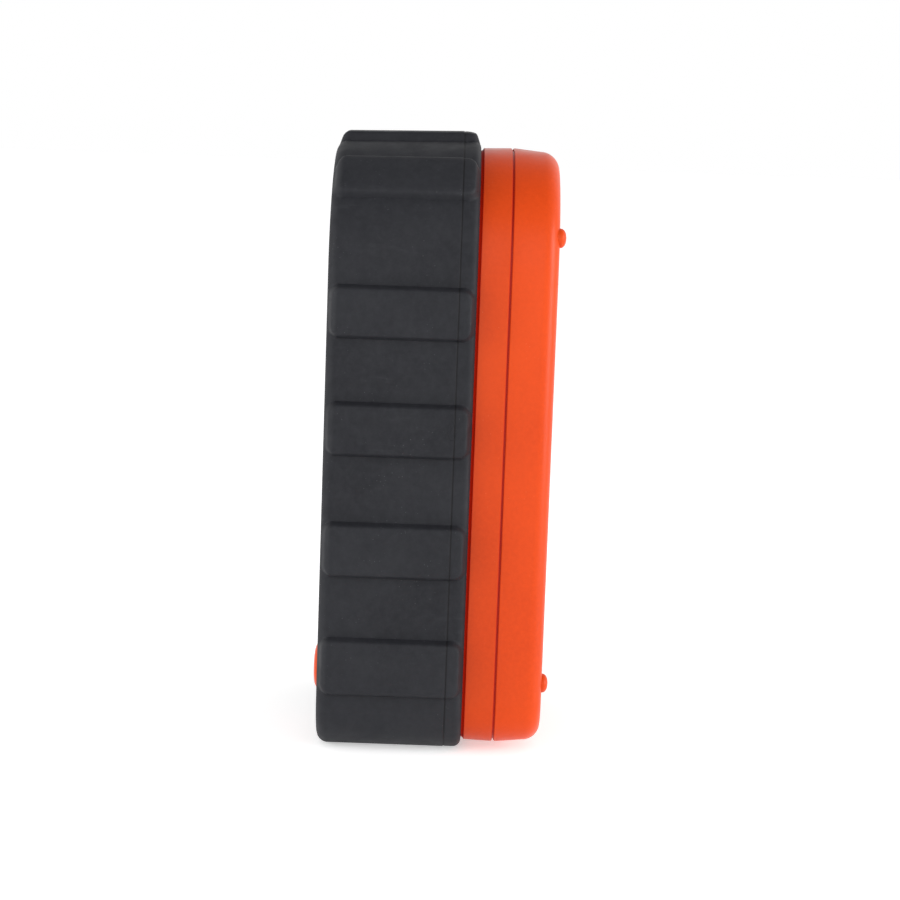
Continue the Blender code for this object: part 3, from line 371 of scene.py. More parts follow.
def cut(target, cutter_form):
    """Cut a piece with a bmesh and apply the cut at once."""
    cutter = as_object("cutter", cutter_form)
    step = target.modifiers.new("cut", 'BOOLEAN')
    step.operation = 'DIFFERENCE'
    step.solver = 'EXACT'
    step.use_self = True
    step.object = cutter
    bpy.context.view_layer.update()
    evaluated = target.evaluated_get(bpy.context.evaluated_depsgraph_get())
    result = bpy.data.meshes.new_from_object(evaluated)
    target.modifiers.remove(step)
    spent = (target.data, cutter.data)
    target.data = result
    bpy.data.objects.remove(cutter)
    for mesh in spent:
        bpy.data.meshes.remove(mesh)
    return target


def add_box(form, x, depth, z):
    centre = ((x[0] + x[1]) / 2, y_at((depth[0] + depth[1]) / 2), (z[0] + z[1]) / 2)
    size = (x[1] - x[0], depth[1] - depth[0], z[1] - z[0])
    place = Matrix.Translation(centre) @ Matrix.Diagonal((*size, 1.0))
    return bmesh.ops.create_cube(form, size=1.0, matrix=place)["verts"]


def add_rod(form, centre, depth, radius, sides=64):
    middle = (centre[0], y_at((depth[0] + depth[1]) / 2), centre[1])
    place = Matrix.Translation(middle) @ Matrix.Rotation(-math.pi / 2, 4, 'X')
    bmesh.ops.create_cone(form, cap_ends=True, segments=sides, radius1=radius, radius2=radius,
                          depth=depth[1] - depth[0], matrix=place)


def rounded_rectangle(half_w, half_h, radius, steps=8):
    """Corner arcs of a rectangle, as (x, z) points in order."""
    points = []
    for corner_x, corner_z, start in ((1, 1, 0), (-1, 1, 90), (-1, -1, 180), (1, -1, 270)):
        for step in range(steps + 1):
            angle = math.radians(start + 90 * step / steps)
            points.append((corner_x * (half_w - radius) + radius * math.cos(angle),
                           corner_z * (half_h - radius) + radius * math.sin(angle)))
    return points


def steps_from(first, second, steps):
    """Pairs of lengths, each a step in mm from two starting lengths."""
    return [(first + a * MM, second + b * MM) for a, b in steps]


def inset_rings(depth, half_w, half_h, steps):
    """Rings for add_stack: each step is a depth, an inset and a corner radius in mm."""
    return [(depth + step * MM, half_w - inset * MM, half_h - inset * MM, corner * MM)
            for step, inset, corner in steps]


def add_stack(form, centre, rings, steps=8):
    """A solid from rounded rectangles: rings are (depth, half width, half height, corner radius)."""
    made = []
    for depth, *shape in rings:
        outline = rounded_rectangle(*shape, steps)
        made.append([form.verts.new((centre[0] + x, y_at(depth), centre[1] + z)) for x, z in outline])
    join_rings(form, made, closed=False)
    return form


def join_rings(form, rings, closed):
    pairs = list(zip(rings, rings[1:]))
    if closed:
        pairs.append((rings[-1], rings[0]))
    else:
        form.faces.new(rings[0])
        form.faces.new(rings[-1])
    for first, second in pairs:
        count = len(first)
        for step in range(count):
            after = (step + 1) % count
            form.faces.new((first[step], first[after], second[after], second[step]))


def add_turned(form, centre, profile, sides=64):
    """A solid turned about Y at (x, z): a (radius, depth) profile from axis to axis, or a closed one."""
    rings = []
    for radius, depth in profile:
        if radius < 1e-7:
            rings.append([form.verts.new((centre[0], y_at(depth), centre[1]))])
            continue
        ring = []
        for step in range(sides):
            angle = 2 * math.pi * step / sides
            ring.append(form.verts.new((centre[0] + radius * math.cos(angle), y_at(depth),
                                             centre[1] + radius * math.sin(angle))))
        rings.append(ring)
    pairs = list(zip(rings, rings[1:]))
    if len(rings[0]) > 1:
        pairs.append((rings[-1], rings[0]))
    for low, high in pairs:
        for step in range(sides):
            after = (step + 1) % sides
            around = ((low, step), (low, after), (high, after), (high, step))
            corners = [ring[turn % len(ring)] for ring, turn in around]
            form.faces.new(list(dict.fromkeys(corners)))
    return form


def arc(centre, radius, start, end, steps):
    """Points (a, b) on an arc, angles in degrees."""
    points = []
    for step in range(steps + 1):
        angle = math.radians(start + (end - start) * step / steps)
        points.append((centre[0] + radius * math.cos(angle), centre[1] + radius * math.sin(angle)))
    return points


# ---- outline of the instrument ----
ARCH_CENTRE_Z = BODY_TOP - TOP_ARCH
CORNER_CENTRE_X = HALF_WIDTH - TOP_CORNER
CORNER_CENTRE_Z = ARCH_CENTRE_Z + math.sqrt((TOP_ARCH - TOP_CORNER) ** 2 - CORNER_CENTRE_X ** 2)
ARCH_START = math.acos(CORNER_CENTRE_X / (TOP_ARCH - TOP_CORNER))
BOTTOM_RUN = HALF_WIDTH - BOTTOM_CORNER
BOTTOM_ARC = BOTTOM_CORNER * math.pi / 2
SIDE_RUN = CORNER_CENTRE_Z - BOTTOM_CORNER
CORNER_ARC = TOP_CORNER * ARCH_START
ARCH_ARC = TOP_ARCH * (math.pi / 2 - ARCH_START)
HALF_LENGTH = BOTTOM_RUN + BOTTOM_ARC + SIDE_RUN + CORNER_ARC + ARCH_ARC


def outline_point(run):
    """(x, z, normal x, normal z) at a distance along the right half, from bottom centre to top centre."""
    if run <= BOTTOM_RUN:
        return run, 0.0, 0.0, -1.0
    run -= BOTTOM_RUN
    if run <= BOTTOM_ARC:
        centre, radius, angle = (BOTTOM_RUN, BOTTOM_CORNER), BOTTOM_CORNER, run / BOTTOM_CORNER - math.pi / 2
    elif run <= BOTTOM_ARC + SIDE_RUN:
        return HALF_WIDTH, BOTTOM_CORNER + run - BOTTOM_ARC, 1.0, 0.0
    elif run <= BOTTOM_ARC + SIDE_RUN + CORNER_ARC:
        centre, radius = (CORNER_CENTRE_X, CORNER_CENTRE_Z), TOP_CORNER
        angle = (run - BOTTOM_ARC - SIDE_RUN) / TOP_CORNER
    else:
        centre, radius = (0.0, ARCH_CENTRE_Z), TOP_ARCH
        angle = ARCH_START + (run - BOTTOM_ARC - SIDE_RUN - CORNER_ARC) / TOP_ARCH
    normal = (math.cos(angle), math.sin(angle))
    return centre[0] + radius * normal[0], centre[1] + radius * normal[1], *normal


def run_at_height(height):
    """Distance along the outline of a height on the straight side or on the lower corner."""
    if height >= BOTTOM_CORNER:
        return BOTTOM_RUN + BOTTOM_ARC + height - BOTTOM_CORNER
    return BOTTOM_RUN + BOTTOM_CORNER * math.acos((BOTTOM_CORNER - height) / BOTTOM_CORNER)


CORNER_RUN = BOTTOM_RUN + BOTTOM_ARC + SIDE_RUN
RIB_SPANS = [(run_at_height(low), run_at_height(high)) for low, high in SIDE_RIBS]
RIB_SPANS.append(tuple(CORNER_RUN + TOP_CORNER * angle for angle in CORNER_RIB))
RIB_SPANS.append((HALF_LENGTH - TOP_RIB_HALF, HALF_LENGTH + TOP_RIB_HALF))


def outline_runs(spacing, edges=(), reach=3.4 * MM, fine=0.3 * MM):
    """Distances along the half outline: even spacing, and fine steps inside each listed edge."""
    count = int(HALF_LENGTH / spacing)
    runs = {round(HALF_LENGTH * step / count, 7) for step in range(count + 1)}
    for edge, inward in edges:
        near = {run for run in runs if -fine <= (run - edge) * inward <= reach}
        runs -= near
        step = -2
        while step * fine <= reach:
            run = edge + inward * step * fine
            if 0 < run < HALF_LENGTH:
                runs.add(round(run, 7))
            step += 1
    ordered = sorted(runs | {0.0, round(HALF_LENGTH, 7)})
    kept = [ordered[0]]
    for run in ordered[1:]:
        if run - kept[-1] > 0.5 * fine:
            kept.append(run)
    kept[-1] = HALF_LENGTH
    return kept


def full_outline(runs):
    """Closed list of (x, z, normal x, normal z, run) with the left half mirrored from the right."""
    right = [(*outline_point(run), run) for run in runs]
    left = [(-x, z, -normal_x, normal_z, run) for x, z, normal_x, normal_z, run in reversed(right[1:-1])]
    return right + left


def add_band(form, outline, rings, closed, rise=None):
    """Loft rings of (depth, offset outwards) along an outline; a third entry marks a drafted ring."""
    made = []
    for depth, offset, *drafted in rings:
        ring = []
        for x, z, normal_x, normal_z, run in outline:
            out = offset
            if drafted:
                out -= TOP_DRAFT * max(0.0, BUMPER_DEPTH - depth) * max(0.0, normal_z)
                if rise:
                    out += rise(run, depth)
            ring.append(form.verts.new((x + out * normal_x, y_at(depth), z + out * normal_z)))
        made.append(ring)
    join_rings(form, made, closed)
    return form


# ---- rubber bumper ----
RIB_START, RIB_END = 0.35 * MM, 37.3 * MM
RIB_CORNER = 3.2 * MM
RIB_RAMP = 1.05 * MM
SEAM_HALF = 0.17 * MM


def smooth(share):
    share = min(1.0, max(0.0, share))
    return share * share * (3 - 2 * share)


def rounded(share):
    """Quarter-circle rise from 0 to 1."""
    share = min(1.0, max(0.0, share))
    return math.sqrt(1.0 - (1.0 - share) ** 2)


def rib_rise(run, depth):
    """Height of the rib pads, and of the mould seam, over the bumper's base face."""
    height = 0.0
    for low, high in RIB_SPANS:
        across = min(run - low, high - run)
        along = min(depth - RIB_START, RIB_END - depth)
        if across <= 0 or along <= 0:
            continue
        inside = min(across, along)
        if across < RIB_CORNER and along < RIB_CORNER:
            inside = RIB_CORNER - math.hypot(RIB_CORNER - across, RIB_CORNER - along)
        if inside <= 0:
            continue
        wall = 0.55 * smooth(inside / RIB_RAMP) + 0.45 * rounded(inside / (2.6 * RIB_RAMP))
        front = rounded((depth - RIB_START) / (2.9 * MM))
        rear = 1.0 - 0.16 * smooth((depth - SEAM_DEPTH) / (RIB_END - SEAM_DEPTH))
        height = max(height, RIB_HEIGHT * wall * front * rear)
    seam = 0.17 * MM * math.exp(-((depth - SEAM_DEPTH) / SEAM_HALF) ** 2)
    lower = 0.08 * MM * smooth((depth - SEAM_DEPTH) / (0.3 * MM))
    return height - seam - lower


def make_gate_mark():
    """The oval mark where the mould was filled, on one side's third rib: two low rings and a pip."""
    middle = (SIDE_RIBS[2][0] + SIDE_RIBS[2][1]) / 2 + 0.6 * MM
    centre_depth = SEAM_DEPTH - 0.6 * MM
    form = bmesh.new()
    for half_w, half_h, thick in ((1.05 * MM, 2.4 * MM, 0.13 * MM), (0.55 * MM, 1.5 * MM, 0.1 * MM)):
        rings = []
        for step in range(48):
            angle = 2 * math.pi * step / 48
            depth = centre_depth + half_w * math.cos(angle)
            z = middle + half_h * math.sin(angle)
            surface = HALF_WIDTH + rib_rise(run_at_height(z), depth)
            ring = []
            for turn in range(8):
                tube = 2 * math.pi * turn / 8
                reach = 1 + thick * math.cos(tube) / math.hypot(half_w, half_h)
                ring.append(form.verts.new((
                    surface + 0.35 * thick * math.sin(tube),
                    y_at(centre_depth + half_w * reach * math.cos(angle)),
                    middle + half_h * reach * math.sin(angle))))
            rings.append(ring)
        for first, second in zip(rings, rings[1:] + rings[:1]):
            for turn in range(8):
                after = (turn + 1) % 8
                form.faces.new((first[turn], first[after], second[after], second[turn]))
    surface = HALF_WIDTH + rib_rise(run_at_height(middle), centre_depth)
    place = Matrix.Translation((surface, y_at(centre_depth), middle + 0.2 * MM))
    place = place @ Matrix.Diagonal((0.3, 1, 1.8, 1))
    bmesh.ops.create_uvsphere(form, u_segments=16, v_segments=10, radius=0.28 * MM, matrix=place)
    piece("gate_mark", form, SEAM_RUBBER, "housing")


def make_bumper():
    edges = []
    for low, high in RIB_SPANS:
        edges.append((low, 1))
        if high < HALF_LENGTH:
            edges.append((high, -1))
    outline = full_outline(outline_runs(2.6 * MM, edges))
    rings = [(LIP_DEPTH, -LIP_WIDTH)]
    rings += steps_from(0.0, -LIP_WIDTH, ((1.2, 0), (0.55, 0.12), (0.15, 0.5), (0, 1.1), (0, 2.4)))
    front_round = 3.0 * MM
    for angle in quarter_turn(18):
        rings.append((front_round * (1 - math.cos(angle)), -front_round * (1 - math.sin(angle)), True))
    depths = [3.3, 3.6, 3.9, 4.3, 4.8, 5.5, 7.0, 10.0, 14.0, 18.0, 22.0, 26.0, 29.0, 31.0, 32.0, 32.5, 32.8]
    depths += [33.0, 33.1, 33.2, 33.3, 33.45, 33.65, 33.9, 34.2, 34.6, 35.0, 35.4]
    rings += [(depth * MM, 0.0, True) for depth in depths]
    rear_round = 2.0 * MM
    for angle in quarter_turn(12, 1):
        depth = BUMPER_DEPTH - rear_round * (1 - math.sin(angle))
        rings.append((depth, -rear_round * (1 - math.cos(angle)), True))
    rings += [(BUMPER_DEPTH, -BUMPER_WALL), (LIP_DEPTH, -BUMPER_WALL)]
    form = add_band(bmesh.new(), outline, rings, closed=True, rise=rib_rise)
    piece("bumper_sleeve", form, RUBBER, "housing", ["rubber_bumper"], sharp=50.0)


# ---- orange housing ----
SHELL_OUTER = -BUMPER_WALL - GAP
SHELL_WALL = 2.2 * MM
PANEL_DEPTHS = (4.0 * MM, 6.5 * MM)
DIAL_X, DIAL_Z = 0.0, node_middle("selector_knob").z
DIAL_WELL_RADIUS = 24.0 * MM
WELL_DEPTHS = (10.0 * MM, 12.0 * MM)
SOCKETS = ("current_socket", "common_socket", "voltage_socket")
SOCKET_Z = node_middle("voltage_socket_shroud").z
SOCKET_WALL = (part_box("voltage_socket_shroud")[1].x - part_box("voltage_socket_shroud")[0].x) / 2
SOCKET_WELL = SOCKET_WALL - 1.5 * MM
BUTTON = node_middle("push_button")
BUTTON_RADIUS = 6.2 * MM
KEYS = {"hold_key": "hold", "range_key": "range", "relative_key": "relative", "light_key": "light"}
KEY_HALF = (6.0 * MM, 3.0 * MM)
WINDOW_LOW, WINDOW_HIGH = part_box("display_window")
WINDOW_CENTRE = place_of("display_window")
WINDOW_HALF = ((WINDOW_HIGH.x - WINDOW_LOW.x) / 2, (WINDOW_HIGH.z - WINDOW_LOW.z) / 2)
SCREWS = ["housing_screw_%d" % number for number in range(1, 5)]
DOOR_LOW, DOOR_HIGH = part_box("battery_door")
DOOR_CENTRE = place_of("battery_door")
DOOR_HALF = ((DOOR_HIGH.x - DOOR_LOW.x) / 2, (DOOR_HIGH.z - DOOR_LOW.z) / 2)
DOOR_INNER_CENTRE = (DOOR_CENTRE[0], DOOR_CENTRE[1] + 2.0 * MM)
DOOR_SCREW_Z = node_middle("battery_door_screw").z
STAND_LOW, STAND_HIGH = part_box("tilt_stand")
STAND_X = 27.0 * MM
HINGE_Z = 74.0 * MM
BACK_FILLET = 4.4 * MM
FEET = ((34.6 * MM, 133.9 * MM), (34.6 * MM, 18.8 * MM))


def front_openings(through, window_margin, dial_radius):
    """Everything that passes through the front wall or the faceplate."""
    cutter = bmesh.new()
    size = (WINDOW_HALF[0] - window_margin, WINDOW_HALF[1] - window_margin, 2.2 * MM)
    add_stack(cutter, WINDOW_CENTRE, [(depth, *size) for depth in through])
    for name in KEYS:
        size = (KEY_HALF[0] + GAP, KEY_HALF[1] + GAP, 1.9 * MM)
        add_stack(cutter, place_of(name), [(depth, *size) for depth in through])
    for name in SOCKETS:
        add_rod(cutter, (node_middle(name + "_shroud").x, SOCKET_Z), through, SOCKET_WALL + GAP)
    add_rod(cutter, (BUTTON.x, BUTTON.z), through, BUTTON_RADIUS + GAP)
    add_rod(cutter, (DIAL_X, DIAL_Z), through, dial_radius, 96)
    return cutter


def make_front_shell():
    front, back = PANEL_DEPTHS
    rings = steps_from(front, SHELL_OUTER, ((0, -1.0), (0.3, -0.3), (1.0, 0)))
    rings += steps_from(BUMPER_DEPTH, SHELL_OUTER, ((-0.6, 0), (0.02, 0.3)))
    groove = ((0.02, -0.95), (0.30, -0.90), (0.62, -0.62), (0.80, -0.26))
    rings += steps_from(BUMPER_DEPTH, -SHELL_DROP, groove)
    rings += steps_from(PARTING_DEPTH, -SHELL_DROP, (
        (-0.3, -0.03), (-0.1, -0.12), (0, -0.3), (0, -0.75), (0.42, -0.75), (0.42, -1.4), (0, -1.4)))
    rings += [(PARTING_DEPTH, -SHELL_DROP - SHELL_WALL - 1.3 * MM), (back, SHELL_OUTER - SHELL_WALL)]
    form = add_band(bmesh.new(), full_outline(outline_runs(1.5 * MM)), rings, closed=False)
    shell = piece("front_housing", form, SHADED_FRONT_ORANGE, "housing", ["front_shell"])
    cut(shell, front_openings((front - 1 * MM, back + 1 * MM), 2.5 * MM, DIAL_WELL_RADIUS + 0.9 * MM))
    radius, bore = DIAL_WELL_RADIUS, 4.3 * MM
    outer = radius + 0.9 * MM
    mouth, floor = WELL_DEPTHS
    profile = [(outer, front), (outer, floor), (bore, floor), (bore, mouth), (radius - 1.0 * MM, mouth)]
    profile += arc((radius - 1.0 * MM, mouth - 1.0 * MM), 1.0 * MM, 80, 0, 6)
    profile += steps_from(radius, front, ((0, 0.3), (0.3, 0)))
    form = add_turned(bmesh.new(), (DIAL_X, DIAL_Z), profile, 96)
    piece("dial_well", form, ORANGE, "housing")


def notch_form():
    """Rounded finger notch below the stand's free end."""
    low, high = STAND_LOW.z - 8.0 * MM, STAND_LOW.z + 1.0 * MM
    half = (high - low) / 2
    return add_stack(bmesh.new(), (0.0, (low + high) / 2), [
        (REAR_DEPTH - 4.8 * MM, 12.4 * MM, half - 0.6 * MM, 2.2 * MM),
        (REAR_DEPTH - 4.2 * MM, 12.9 * MM, half - 0.1 * MM, 2.6 * MM),
        (REAR_DEPTH - 0.5 * MM, 13.0 * MM, half, 2.7 * MM), (REAR_DEPTH + 2 * MM, 14.5 * MM, half, 2.9 * MM)])


def make_rear_shell():
    edge = -SHELL_DROP - 0.7 * MM
    rim = PARTING_DEPTH + GAP + 0.1 * MM
    rings = []
    for angle in reversed(quarter_turn(14)):
        depth = REAR_DEPTH - BACK_FILLET * (1 - math.sin(angle))
        rings.append((depth, edge - BACK_FILLET * (1 - math.cos(angle))))
    rings += steps_from(rim, -SHELL_DROP, ((0.4, -0.02), (0.15, -0.12), (0, -0.35), (0, -1.6), (0.2, -1.6)))
    rings += [(rim + 0.2 * MM, edge - SHELL_WALL - 0.5 * MM)]
    rings += steps_from(REAR_DEPTH - SHELL_WALL, edge - SHELL_WALL, ((-3.4, -1.4), (-1.6, -3.4)))
    form = add_band(bmesh.new(), full_outline(outline_runs(1.5 * MM)), rings, closed=False)
    shell = piece("rear_housing", form, ORANGE, "housing", ["rear_shell"])
    past = REAR_DEPTH + 2 * MM
    half_w, half_h = DOOR_HALF
    seat = (half_w + GAP, half_h + GAP, 2.3 * MM)
    cut(shell, add_stack(bmesh.new(), DOOR_CENTRE, [(REAR_DEPTH - 1.6 * MM, *seat), (past, *seat)]))
    inner = (half_w - 1.2 * MM, half_h - 4.0 * MM, 2.0 * MM)
    cutter = add_stack(bmesh.new(), DOOR_INNER_CENTRE, [(REAR_DEPTH - 8 * MM, *inner), (past, *inner)])
    for name in SCREWS:
        add_rod(cutter, place_of(name), (REAR_DEPTH - 4.0 * MM, past), 3.1 * MM, 48)
    add_rod(cutter, (0.0, DOOR_SCREW_Z), (REAR_DEPTH - 7 * MM, past), 1.5 * MM, 24)
    low = STAND_LOW.z - GAP
    high = HINGE_Z + 2.6 * MM
    recess = (STAND_X + GAP, (high - low) / 2, 2.8 * MM)
    add_stack(cutter, (0.0, (low + high) / 2), [(REAR_DEPTH - 3.2 * MM, *recess), (past, *recess)])
    cut(shell, cutter)
    cut(shell, notch_form())
    backing = bmesh.new()
    add_box(backing, (-STAND_X - 2 * MM, STAND_X + 2 * MM), (REAR_DEPTH - 7.2 * MM, REAR_DEPTH - 3.25 * MM),
            (STAND_LOW.z - 10 * MM, HINGE_Z + 4 * MM))
    cut(piece("stand_pocket_floor", backing, ORANGE, "housing"), notch_form())
    cutter = bmesh.new()
    for side in (-1, 1):
        reach = sorted((side * (STAND_X - 1 * MM), side * (STAND_X + 3.2 * MM)))
        add_box(cutter, reach, (REAR_DEPTH - 3.2 * MM, past), (HINGE_Z - 1.9 * MM, HINGE_Z + 1.9 * MM))
    cut(shell, cutter)


def make_feet():
    """Four low domes moulded on the back."""
    form = bmesh.new()
    height, radius = REAR_HIGH.y - FRONT_Y - REAR_DEPTH, 2.5 * MM
    profile = [(0.0, REAR_DEPTH - 1.5 * MM), (radius, REAR_DEPTH - 1.5 * MM)]
    for angle in quarter_turn(15)[:-1]:
        profile.append((radius * math.cos(angle) ** 0.85, REAR_DEPTH + height * math.sin(angle) ** 0.9))
    profile.append((0.0, REAR_DEPTH + height))
    for side in (-1, 1):
        for foot_x, foot_z in FEET:
            add_turned(form, (side * foot_x, foot_z), profile, 40)
    piece("moulded_feet", form, ORANGE, "housing")


# ---- faceplate and print ----
PLATE_DEPTHS = depths_of("faceplate")
PRINT_THICK = 0.05 * MM
# The marks share out the selector joint's whole turn, so that its ends fall on the first and last mark.
SELECTOR_LIMIT = 132.0
DIAL_MARKS = ("OFF", "600", "60", "6", "6", "60", "600", "600", "6k", "6M", "10")
# Each group's sign, the place of the sign, and its first and last mark, counted in marks.
DIAL_GROUPS = (("V=", 1.5, 1, 3), ("V~", 4.5, 4, 6), ("Ω", 8.5, 7, 9), ("A", 9.5, 10, 10))


def mark_angle(number):
    """Degrees clockwise from the top of a mark on the dial, counted from the first."""
    return SELECTOR_LIMIT * (2 * number / (len(DIAL_MARKS) - 1) - 1)


def make_faceplate():
    edge = -LIP_WIDTH - GAP
    front, back = PLATE_DEPTHS
    rings = steps_from(front, edge, ((0, -0.25), (0.08, -0.08), (0.25, 0))) + [(back, edge)]
    form = add_band(bmesh.new(), full_outline(outline_runs(1.5 * MM)), rings, closed=False)
    plate = piece("front_panel", form, PANEL, "housing", ["faceplate"])
    cut(plate, front_openings((front - 1 * MM, back + 1 * MM), -0.1 * MM, DIAL_WELL_RADIUS))


def text_mesh(target, words, centre, size, depth):
    """Add flat raised lettering, facing the front, to a bmesh."""
    curve = bpy.data.curves.new("lettering", 'FONT')
    curve.body = words
    curve.size = size
    curve.align_x = 'CENTER'
    curve.align_y = 'CENTER'
    curve.resolution_u = 3
    curve.extrude = PRINT_THICK / 2
    lettering = add_object("lettering", curve)
    bpy.context.view_layer.update()
    evaluated = lettering.evaluated_get(bpy.context.evaluated_depsgraph_get())
    mesh = bpy.data.meshes.new_from_object(evaluated)
    place = Matrix.Translation((centre[0], y_at(depth), centre[1])) @ Matrix.Rotation(math.pi / 2, 4, 'X')
    mesh.transform(place)
    target.from_mesh(mesh)
    bpy.data.objects.remove(lettering)
    bpy.data.meshes.remove(mesh)
    bpy.data.curves.remove(curve)


def dial_place(radius, degrees):
    """(x, z) at a clockwise angle from the top of the dial."""
    angle = math.radians(degrees)
    return DIAL_X + radius * math.sin(angle), DIAL_Z + radius * math.cos(angle)


def add_strip(target, points, width, depth):
    """A flat printed line through (x, z) points."""
    rings = []
    for index, (x, z) in enumerate(points):
        before = points[max(index - 1, 0)]
        after = points[min(index + 1, len(points) - 1)]
        along = Vector((after[0] - before[0], after[1] - before[1])).normalized()
        side = Vector((-along.y, along.x)) * width / 2
        ring = []
        for offset, level in ((side, 0), (-side, 0), (-side, 1), (side, 1)):
            ring.append(target.verts.new((x + offset.x, y_at(depth - level * PRINT_THICK), z + offset.y)))
        rings.append(ring)
    join_rings(target, rings, closed=False)


def make_dial_print():
    form = bmesh.new()
    depth = PLATE_DEPTHS[0] + 0.01 * MM
    for number, words in enumerate(DIAL_MARKS):
        degrees = mark_angle(number)
        ends = [dial_place(radius, degrees) for radius in (24.9 * MM, 26.3 * MM)]
        add_strip(form, ends, 0.45 * MM, depth)
        text_mesh(form, words, dial_place(28.5 * MM, degrees), 2.7 * MM, depth - PRINT_THICK / 2)
    for words, *places in DIAL_GROUPS:
        label, low, high = (mark_angle(number) for number in places)
        for start, end in ((low - 8, label - 5), (label + 5, high + 8)):
            if low < high:
                points = [dial_place(32.0 * MM, start + (end - start) * step / 12) for step in range(13)]
                add_strip(form, points, 0.35 * MM, depth)
        text_mesh(form, words, dial_place(32.2 * MM, label), 3.4 * MM, depth - PRINT_THICK / 2)
    piece("dial_print", form, INK, "housing")


def make_socket_print():
    form = bmesh.new()
    depth = PLATE_DEPTHS[0] + 0.01 * MM
    for name, words in zip(SOCKETS, ("A", "COM", "VΩ")):
        x = node_middle(name + "_shroud").x
        add_strip(form, arc((x, SOCKET_Z), 8.4 * MM, 110, 430, 40), 0.35 * MM, depth)
        text_mesh(form, words, (x, SOCKET_Z + 9.6 * MM), 3.1 * MM, depth - PRINT_THICK / 2)
    piece("socket_print", form, INK, "housing")


def make_window():
    """Rounded lens and the dark printed frame behind it."""
    half_w, half_h = WINDOW_HALF
    front, back = depths_of("display_window")
    rings = inset_rings(back, half_w, half_h, ((0, 0, 2.4),))
    rings += inset_rings(front, half_w, half_h, ((0.2, 0, 2.4), (0, 0.2, 2.4)))
    lens = add_stack(bmesh.new(), WINDOW_CENTRE, rings)
    piece("display_lens", lens, WINDOW, "housing", ["display_window"])
    mask = bmesh.new()
    outer = (half_w - 0.3 * MM, half_h - 0.3 * MM, 2.2 * MM)
    inner = (half_w - 3.6 * MM, half_h - 2.9 * MM, 1.0 * MM)
    near, far = back + 0.05 * MM, back + 0.25 * MM
    rings = []
    for depth, size in ((near, outer), (far, outer), (far, inner), (near, inner)):
        rings.append([mask.verts.new((WINDOW_CENTRE[0] + x, y_at(depth), WINDOW_CENTRE[1] + z))
                      for x, z in rounded_rectangle(*size)])
    join_rings(mask, rings, closed=True)
    piece("display_mask", mask, BLACK_PART, "housing")


def add_zero(target, corner, width, height, depth):
    """The six bars of a seven-segment 0, leaning a little to the right."""
    thick = width * 0.2
    half = height / 2
    bars = (((0, height), (width, height)), ((width, half), (width, height)), ((width, 0), (width, half)),
            ((0, 0), (width, 0)), ((0, 0), (0, half)), ((0, half), (0, height)))
    for bar in bars:
        start, end = (Vector(point) for point in bar)
        along = (end - start).normalized() * thick
        side = Vector((-along.y, along.x)) / 2
        start, end = start + along * 0.16, end - along * 0.16
        shape = [start, start + along / 2 + side, end - along / 2 + side, end,
                 end - along / 2 - side, start + along / 2 - side]
        rings = []
        for level in (0, 1):
            y = y_at(depth - level * PRINT_THICK)
            places = [(corner[0] + point.x + 0.09 * point.y, y, corner[1] + point.y) for point in shape]
            rings.append([target.verts.new(place) for place in places])
        join_rings(target, rings, closed=False)


def make_segments():
    """The display shows 00.00 with a V and an AC sign."""
    form = bmesh.new()
    depth = depths_of("lcd_glass")[0] - 0.02 * MM
    base_z = WINDOW_CENTRE[1] - 6.6 * MM
    start_x, pitch = -17.5 * MM, 10.2 * MM
    for index in range(4):
        add_zero(form, (start_x + index * pitch, base_z), 6.6 * MM, 13.0 * MM, depth)
    dot = (0.75 * MM, 0.75 * MM, 0.3 * MM)
    add_stack(form, (start_x + 2 * pitch - 1.9 * MM, base_z), [(depth, *dot), (depth - PRINT_THICK, *dot)], 3)
    text_mesh(form, "V", (23.0 * MM, base_z + 2.2 * MM), 5.0 * MM, depth - PRINT_THICK / 2)
    text_mesh(form, "~", (-22.6 * MM, base_z + 6.5 * MM), 5.5 * MM, depth - PRINT_THICK / 2)
    piece("display_segments", form, SEGMENT, "housing")


